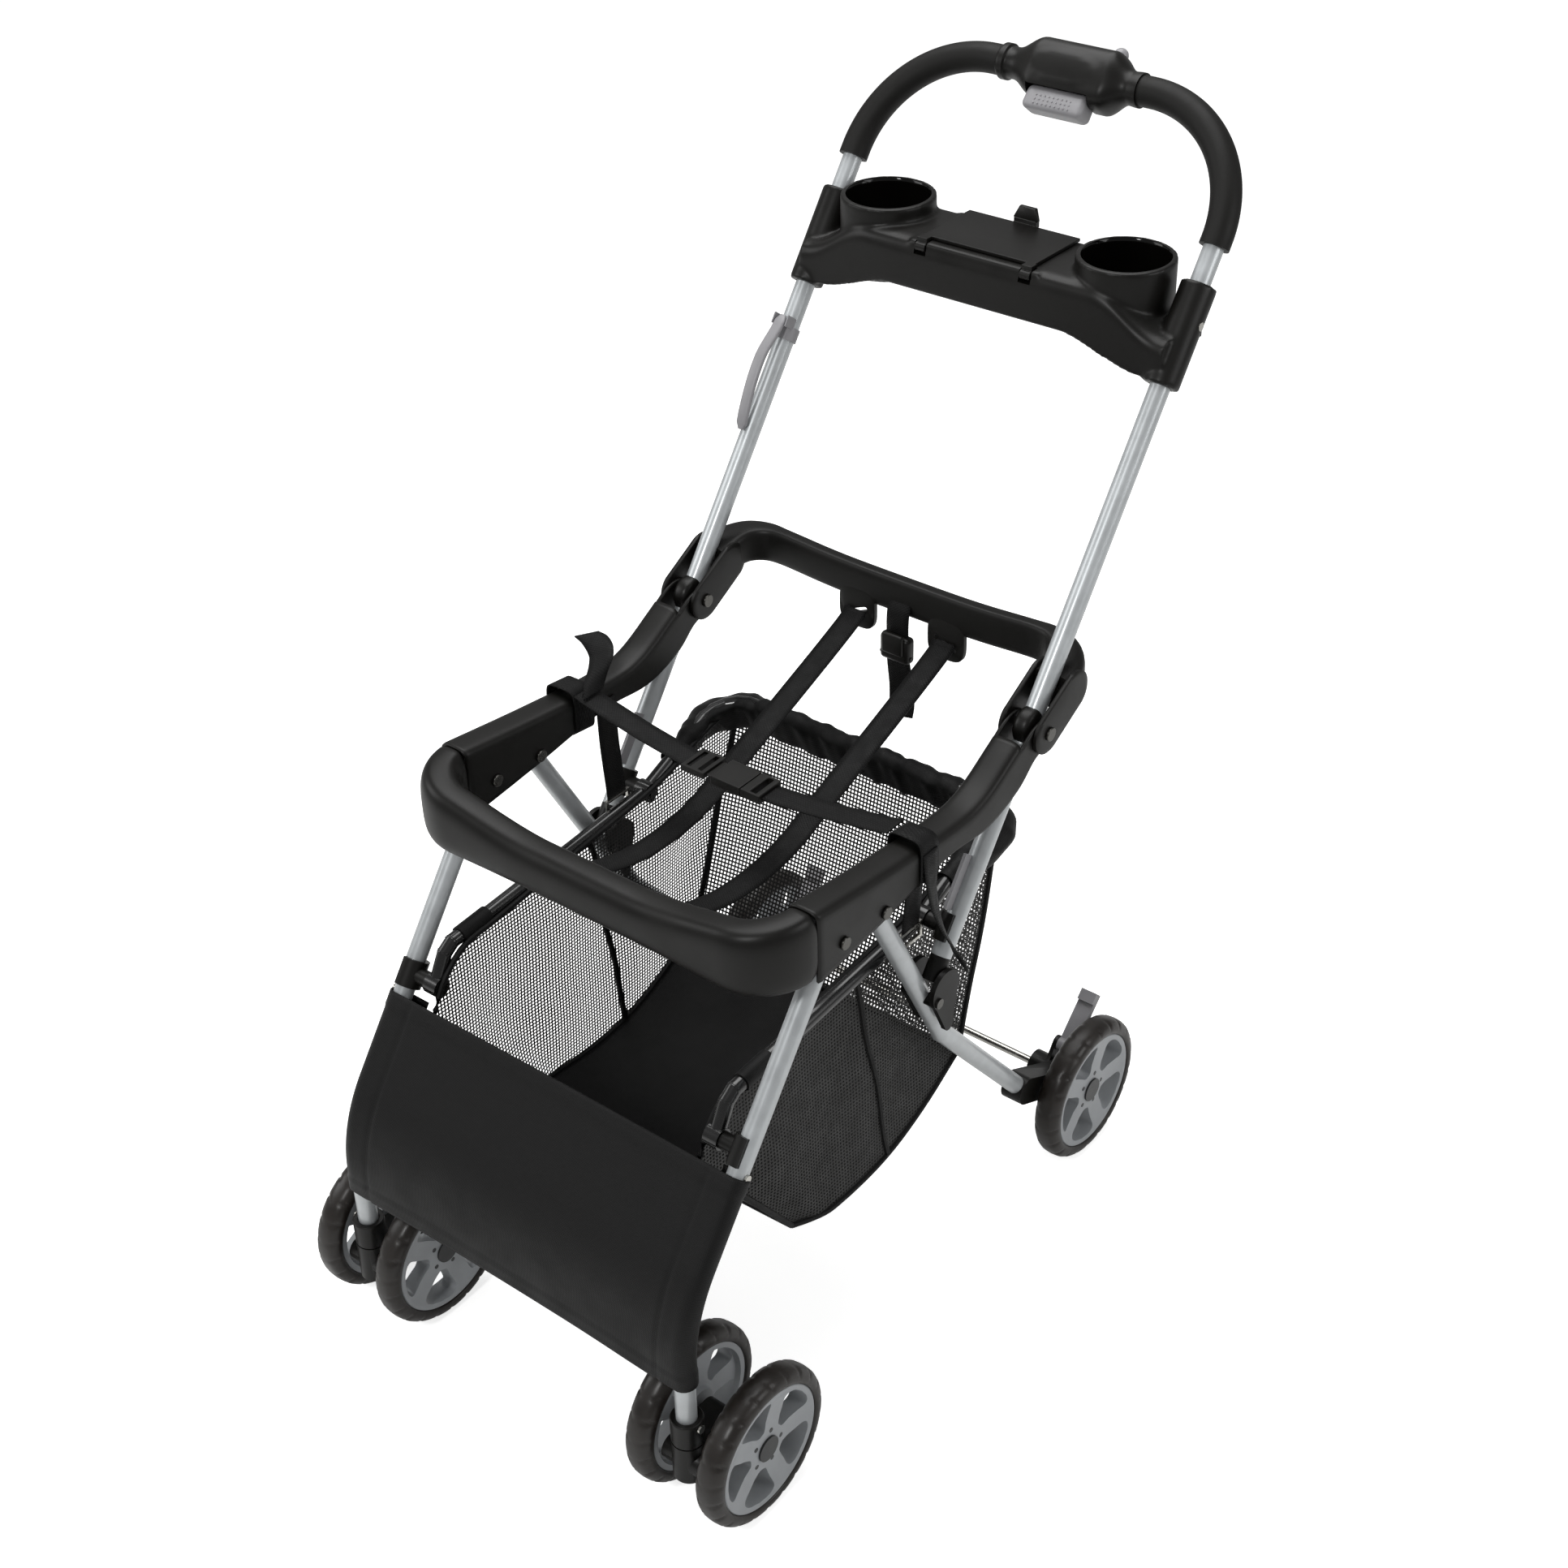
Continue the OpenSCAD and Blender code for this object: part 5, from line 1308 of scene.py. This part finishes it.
# Heights along the basket, measured in the photo with the fitted camera
RIM_LINE = [
    (-343, 337), (-322, 376), (-300, 394), (-230, 402), (-130, 413),
    (-30, 424), (30, 442), (70, 452), (100, 454),
]
FLOOR_LINE = [(-220, 173), (-160, 162), (-90, 165), (-30, 185), (28, 217)]


def tuck(share):
    """How far the floor's front corners are drawn in."""
    return CORNER_TUCK * (1 - smooth_step(0, 0.14, share))


def basket_side(u, v):
    """A net side: rim to floor, drawn in a little between its edges."""
    top = along([mm(0, y, z) for y, z in RIM_LINE], u)
    low = along([mm(0, y, z) for y, z in FLOOR_LINE], u)
    swell = 4 * MM * math.sin(math.pi * v) * (0.4 + 0.6 * math.sin(math.pi * u))
    ripple = 1.6 * MM * math.sin(17 * u + 4 * v) * math.sin(math.pi * v)
    point = top + (low - top) * v
    flare = (FLOOR_HALF - RIM_HALF) * smooth_step(0, 0.6, v) - tuck(u) * v * v
    return Vector((RIM_HALF + flare - swell - ripple, point.y, point.z))


def basket_floor(u, v):
    """The solid floor, sagging between the sides."""
    low = along([mm(0, y, z) for y, z in FLOOR_LINE], v)
    x = (2 * u - 1) * (FLOOR_HALF - tuck(v))
    sag = 9 * MM * (1 - (2 * u - 1) ** 2) * math.sin(math.pi * (0.15 + 0.7 * v))
    wave = 1.2 * MM * math.sin(11 * u + 5 * v)
    return Vector((x, low.y, low.z - sag + wave * math.sin(math.pi * u)))


def basket_end(share, bulge):
    """An end wall between the sides, at the front where share is 0 and at the rear where it is 1."""
    top, low = basket_side(share, 0), basket_side(share, 1)

    def place(u, v):
        across = 2 * u - 1
        edge = basket_side(share, v)
        point = top + (low - top) * v
        dish = bulge * math.sin(math.pi * v) * (1 - across**4)
        dip = 5 * MM * (1 - v) * (1 - across**2)
        sag = 9 * MM * (1 - across**2) * math.sin(math.pi * 0.15) * v
        return Vector((across * edge.x, point.y + dish, point.z - dip - sag))

    return place


def squared(bm, across):
    """Lays a net's UVs square to the world, so that its holes keep one size over the whole piece."""
    layer = bm.loops.layers.uv.verify()
    for vert in bm.verts:
        for loop in vert.link_loops:
            loop[layer].uv = (vert.co[across], vert.co.z)
    return bm


def hang(obj):
    """Gives a cloth piece its own copy of its mesh."""
    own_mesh(obj)


def cloth_part(name, bm, finish, thickness):
    """One cut piece of the basket."""
    area = sum(f.calc_area() for f in bm.faces)
    obj = piece(name, bm, "basket_frame", finish, ("basket",), 60)
    if thickness:
        thicken(obj, thickness)
    hang(obj)
    return obj


class STROLLER_OT_basket(bpy.types.Operator):
    """Sews the basket of net sides and a solid floor, and binds its seams"""

    bl_idname = "stroller.basket"
    bl_label = "Basket"

    def execute(self, context):
        sizes = context.scene.stroller_sizes
        for name, sign in SIDES.items():
            bm = squared(mapped_grid(60, 34, basket_side), 1)
            if sign < 0:
                mirrored(bm)
            cloth_part(f"basket_net_{name}", bm, "net", 0)
        floor_flat = (340 * MM, 275 * MM)
        floor = mapped_grid(44, 40, basket_floor, floor_flat)
        cloth_part("basket_floor", floor, "floor_cloth", sizes.cloth_thickness)
        front_flat = (330 * MM, 215 * MM)
        front = mapped_grid(44, 24, basket_end(0, -3 * MM), front_flat)
        cloth_part("basket_front", front, "floor_cloth", sizes.cloth_thickness)
        rear = squared(mapped_grid(44, 30, basket_end(1, 8 * MM)), 0)
        cloth_part("basket_net_rear", rear, "net", 0)
        hang(piece("basket_binding", self.binding(), "basket_frame", "floor_cloth"))
        sleeves = [self.sleeve()]
        for sign in SIDES.values():
            tab = [mm(sign * 165, -292, 401), mm(sign * 165, -256, 403.3)]
            sleeves.append(rod(tab, 8.6 * MM, 6, 24))
        piece("basket_sleeve", merged(sleeves), "basket_frame", "floor_cloth", (), 60)
        return {"FINISHED"}

    def binding(self):
        """Rolled tape along the seams and the rim."""
        parts = []
        for sign in SIDES.values():
            shares = [t / 12 for t in range(13)]
            seams = [[basket_side(t, v) for t in shares] for v in (0, 1)]
            seams += [[basket_side(u, t) for t in shares] for u in (0, 1)]
            seams.append([basket_side(0.52 + 0.004 * math.sin(12 * t), t) for t in shares])
            for path in seams:
                points = [Vector((sign * p.x, p.y, p.z)) for p in path]
                parts.append(rod(points, TAPE_R, 40, 8))
        for corner in (basket_side(0, 1), basket_side(1, 1), basket_side(0, 0)):
            points = []
            for k in range(15):
                share = 2 * k / 14 - 1
                dip = 4 * MM * (1 - share**2)
                points.append(Vector((share * corner.x, corner.y, corner.z - dip)))
            parts.append(rod(points, TAPE_R, 30, 8))
        return merged(parts)

    def sleeve(self):
        """Cloth sewn round the rear of the frame tube, puckered along its length."""
        path = []
        for k in range(-3, 4):
            path.append(Vector((-FRAME_X, 0, 0)) + TAIL - TAIL_RUN * (TAIL_BEND + (3 - k) * 9 * MM))
        for k in range(1, 7):
            turn = math.radians(15 * k)
            x = -FRAME_X + TAIL_BEND * (1 - math.cos(turn))
            path.append(Vector((x, 0, 0)) + TAIL - TAIL_RUN * TAIL_BEND * (1 - math.sin(turn)))
        path.append(Vector((-60 * MM, 0, 0)) + TAIL)
        path += [Vector((-p.x, p.y, p.z)) for p in reversed(path)]

        def place(u, v):
            side = heading(path, v).cross(UP).normalized()
            angle = 2 * math.pi * u
            pucker = 0.9 * MM * math.sin(88 * v + 2 * math.sin(angle)) + 0.5 * MM * math.sin(190 * v + angle)
            radius = 9.8 * MM + pucker
            low = max(0, -math.sin(angle)) ** 2
            slim = 1 - 0.55 * low
            end = min(v, 1 - v)
            droop = 20 * MM * low * smooth_step(0, 0.12, end)
            # The cloth stands out past the tube where the tube turns
            spare = math.exp(-(((end - 0.176) / 0.075) ** 2)) * (1 - math.cos(angle)) / 2
            out = math.cos(angle) * radius * slim - 22 * MM * spare
            rise = math.sin(angle) * radius - droop - 14 * MM * spare
            return along(path, v) + side * out + UP * rise

        return closed_tube(32, 200, place, (70 * MM, 520 * MM), caps=False)


# Wheels

TYRE_HALF = 14 * MM
TREAD_LOW = 65.5 * MM
# Half of a tyre's section: across and from the axle
TYRE_PROFILE = [
    (-9.5, 62.6), (-12.0, 62.6), (-13.6, 64.0), (-14.0, 67.0), (-13.4, 70.0),
    (-11.8, 72.8), (-9.4, 75.0), (-6.4, 76.4), (-3.2, 76.95),
]


def tyre(hub, blocks):
    """A foam tyre with a rounded shoulder and curved grooves across its tread."""
    profile = [*TYRE_PROFILE, (0, 77.0), *((-x, r) for x, r in reversed(TYRE_PROFILE))]
    points = [mm(x, r, 0) for x, r in profile]

    def place(u, v):
        row = points[round(u * (len(points) - 1))]
        across = row.x / TYRE_HALF
        bend = 0.35 * abs(across)
        share = (v * blocks + bend) % 1.0
        groove = max(0.0, 1 - abs(share - 0.5) / 0.11)
        shoulder = smooth_step(0.32, 0.6, abs(across)) * (1 - smooth_step(0.96, 1.0, abs(across)))
        ring = 0.5 * MM * math.exp(-(((abs(across) - 0.3) / 0.07) ** 2))
        radius = row.y
        if radius > TREAD_LOW:
            radius -= 2.2 * MM * groove * shoulder + ring
        return hub + spun(row.x, radius, 2 * math.pi * v)

    return closed_tube(len(points) - 1, blocks * 10, place, caps=False)


SPOKES = 5
RIM_PROFILE = [
    (-12, 62.4), (-12, 57), (-7, 55), (-6, 30), (-9, 19), (-12.5, 17.5), (-12.5, 4), (9, 4),
    (9, 15), (8.6, 21), (8, 32), (9.4, 48), (11.6, 57), (12.3, 58.6), (12.3, 61.6), (11.6, 62.4),
]


def spoke_gap(number):
    """The opening between two spokes, a rounded wedge that widens toward the face."""
    turn = 2 * math.pi * (number + 0.5) / SPOKES

    def outline(x):
        ring = []
        grow = 1 + 5 * x
        for k in range(40):
            u, v = oval(2 * math.pi * k / 40, grow, grow, 4)
            radius = (39.5 + 16.5 * v) * MM
            wide = math.radians(14 + 12 * (v + 1) / 2)
            ring.append(spun(x, radius, turn + u * wide))
        return ring

    return looped(outline, [-20 * MM, 0, 20 * MM])


def rim_shape():
    """A rim that faces +x: a lipped ring, flared spokes, and a dark cap with five holes round it. The holes
    are not cut but drawn as dark discs of painted shade on the face.
    """

    def place(u, v):
        x, radius = RIM_PROFILE[round(u * len(RIM_PROFILE)) % len(RIM_PROFILE)]
        return spun(x, radius, 2 * math.pi * v) * MM

    ring = closed_tube(len(RIM_PROFILE), 120, place, caps=False)
    parts = [fused([ring], cuts=[spoke_gap(k) for k in range(SPOKES)])]
    dark = [post(mm(2, 0, 0), mm(11, 0, 0), 12.6 * MM)]
    # The five holes are not cut: each is a dark disc flush with the rim's face, painted shade standing in
    # for the hole
    for k in range(SPOKES):
        hole = spun(0, 18.6 * MM, 2 * math.pi * k / SPOKES)
        dark.append(post(hole + mm(5, 0, 0), hole + mm(8.95, 0, 0), 2.4 * MM, 20))
    # The dark cap and the painted shade of the holes both take the second, dark hub material
    for bm in dark:
        for face in bm.faces:
            face.material_index = 1
    return merged(parts + dark)


class STROLLER_OT_tyres(bpy.types.Operator):
    """Moulds the six tyres and their rims"""

    bl_idname = "stroller.tyres"
    bl_label = "Wheels"

    def execute(self, context):
        blocks = context.scene.stroller_sizes.tread_blocks
        shape = rim_shape()
        wheels = {f"front_tyre_{i}": f"front_wheel_{i}" for i in range(1, 5)}
        wheels.update({f"rear_tyre_{side}": f"rear_wheel_{side}" for side in SIDES})
        for node, body in wheels.items():
            low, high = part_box(node)
            name = node.replace("tyre", "tyre_tread")
            hub = (low + high) / 2
            piece(name, tyre(hub, blocks), body, "tyre", (node,), 45)
            rim = shape.copy()
            if hub.x * (abs(hub.x) - TUBE_X) < 0:
                mirrored(rim)
            bmesh.ops.translate(rim, verts=rim.verts, vec=hub)
            cad_rim = node.replace("tyre", "rim")
            obj = piece(cad_rim + "_spokes", rim, body, "rim", (cad_rim,), 40)
            # The second material: the dark cap, and the painted shade of the five holes
            obj.data.materials.append(FINISHES["hub"])
            rounded(obj, 1.0 * MM)
        shape.free()
        return {"FINISHED"}


# Stage


class STROLLER_OT_stage(bpy.types.Operator):
    """Sets the camera, the soft light and the pale floor"""

    bl_idname = "stroller.stage"
    bl_label = "Stage"

    def execute(self, context):
        scene = context.scene
        colours = scene.stroller_colours
        self.camera(scene)
        self.floor(scene, colours)
        world = bpy.data.worlds.new("studio")
        world.use_nodes = True
        background = world.node_tree.nodes["Background"]
        background.inputs["Color"].default_value = (1, 1, 1, 1)
        # The eye sees a white wall, and the frame is lit by a dimmer one
        path = add_node(world.node_tree, "ShaderNodeLightPath")
        inputs = {0: (path, "Is Camera Ray"), 1: 0.75, 2: 0.3 * colours.light}
        level = add_node(world.node_tree, "ShaderNodeMath", inputs, operation="MULTIPLY_ADD")
        world.node_tree.links.new(level.outputs["Value"], background.inputs["Strength"])
        scene.world = world
        middle = Vector((0, 0, 0.5))
        for name, place, size, power in (
            ("top_softbox", Vector((-0.5, 0.5, 2.7)), 1.9, 46),
            ("left_softbox", Vector((-2.2, -1.4, 1.7)), 1.3, 17),
            ("right_softbox", Vector((2.3, 0.6, 1.6)), 1.2, 15),
            ("tube_glint_lamp", Vector((0.2, -2.3, 2.3)), 0.4, 22),
        ):
            self.lamp(scene, name, place, middle, size, power * colours.light)
        scene.view_settings.view_transform = "Standard"
        return {"FINISHED"}

    def camera(self, scene):
        """The photo's camera. Its lens, place and turn were fitted to points measured in the photo."""
        data = bpy.data.cameras.new("photo_camera")
        data.sensor_width = 36
        data.lens = 55.23
        data.clip_end = 50
        right = Vector((0.78280, 0.62192, -0.02159)).normalized()
        back = Vector((0.52235, -0.63781, 0.56602)).normalized()
        up = back.cross(right)
        turn = Matrix((right, up, back)).transposed().to_4x4()
        camera = bpy.data.objects.new("photo_camera", data)
        camera.matrix_world = Matrix.Translation((1.1566, -1.4361, 1.7406)) @ turn
        scene.collection.objects.link(camera)
        scene.camera = camera

    def lamp(self, scene, name, place, aim, size, power):
        """A square lamp that faces a point."""
        data = bpy.data.lights.new(name, "AREA")
        data.shape = "SQUARE"
        data.size = size
        data.energy = power
        lamp = bpy.data.objects.new(name, data)
        lamp.location = place
        lamp.rotation_euler = (aim - place).to_track_quat("-Z", "Y").to_euler()
        scene.collection.objects.link(lamp)

    def floor(self, scene, colours):
        """A wide matt floor."""
        bm = bmesh.new()
        bmesh.ops.create_grid(bm, x_segments=2, y_segments=2, size=12)
        mesh = bpy.data.meshes.new("studio_floor")
        bm.to_mesh(mesh)
        bm.free()
        finish, tree, shader = new_finish("pale_floor", Roughness=0.9)
        shader.inputs["Base Color"].default_value = (*colours.floor, 1)
        # The eye sees the floor lit up to white, and the frame is lit by the plain floor
        path = add_node(tree, "ShaderNodeLightPath")
        inputs = {0: (path, "Is Camera Ray"), 1: 0.7}
        glow = add_node(tree, "ShaderNodeMath", inputs, operation="MULTIPLY")
        shader.inputs["Emission Color"].default_value = (1, 1, 1, 1)
        tree.links.new(glow.outputs["Value"], shader.inputs["Emission Strength"])
        mesh.materials.append(finish)
        floor = bpy.data.objects.new("studio_floor", mesh)
        scene.collection.objects.link(floor)


class STROLLER_PT_pieces(bpy.types.Panel):
    """Lists the pieces of the stroller frame"""

    bl_idname = "STROLLER_PT_pieces"
    bl_label = "Stroller frame"
    bl_space_type = "VIEW_3D"
    bl_region_type = "UI"
    bl_category = "Stroller"

    def draw(self, context):
        for group in (context.scene.stroller_colours, context.scene.stroller_sizes):
            for key in group.__annotations__:
                self.layout.prop(group, key)
        for operator in OPERATORS:
            self.layout.operator(operator.bl_idname)


OPERATORS = (
    STROLLER_OT_stage,
    STROLLER_OT_finish_nodes,
    STROLLER_OT_mouldings,
    STROLLER_OT_parent_tray,
    STROLLER_OT_housing,
    STROLLER_OT_latch,
    STROLLER_OT_seat_ring,
    STROLLER_OT_harness,
    STROLLER_OT_waist_belt,
    STROLLER_OT_tether,
    STROLLER_OT_support_straps,
    STROLLER_OT_front_panel,
    STROLLER_OT_basket,
    STROLLER_OT_tyres,
)
CLASSES = (FinishColours, PieceSizes, *OPERATORS, STROLLER_PT_pieces)


def register():
    for cls in CLASSES:
        bpy.utils.register_class(cls)
    bpy.types.Scene.stroller_colours = bpy.props.PointerProperty(type=FinishColours)
    bpy.types.Scene.stroller_sizes = bpy.props.PointerProperty(type=PieceSizes)


def unregister():
    del bpy.types.Scene.stroller_sizes
    del bpy.types.Scene.stroller_colours
    for cls in reversed(CLASSES):
        bpy.utils.unregister_class(cls)


def main():
    register()
    for operator in OPERATORS:
        group, name = operator.bl_idname.split(".")
        getattr(getattr(bpy.ops, group), name)()


if __name__ == "__main__":
    main()
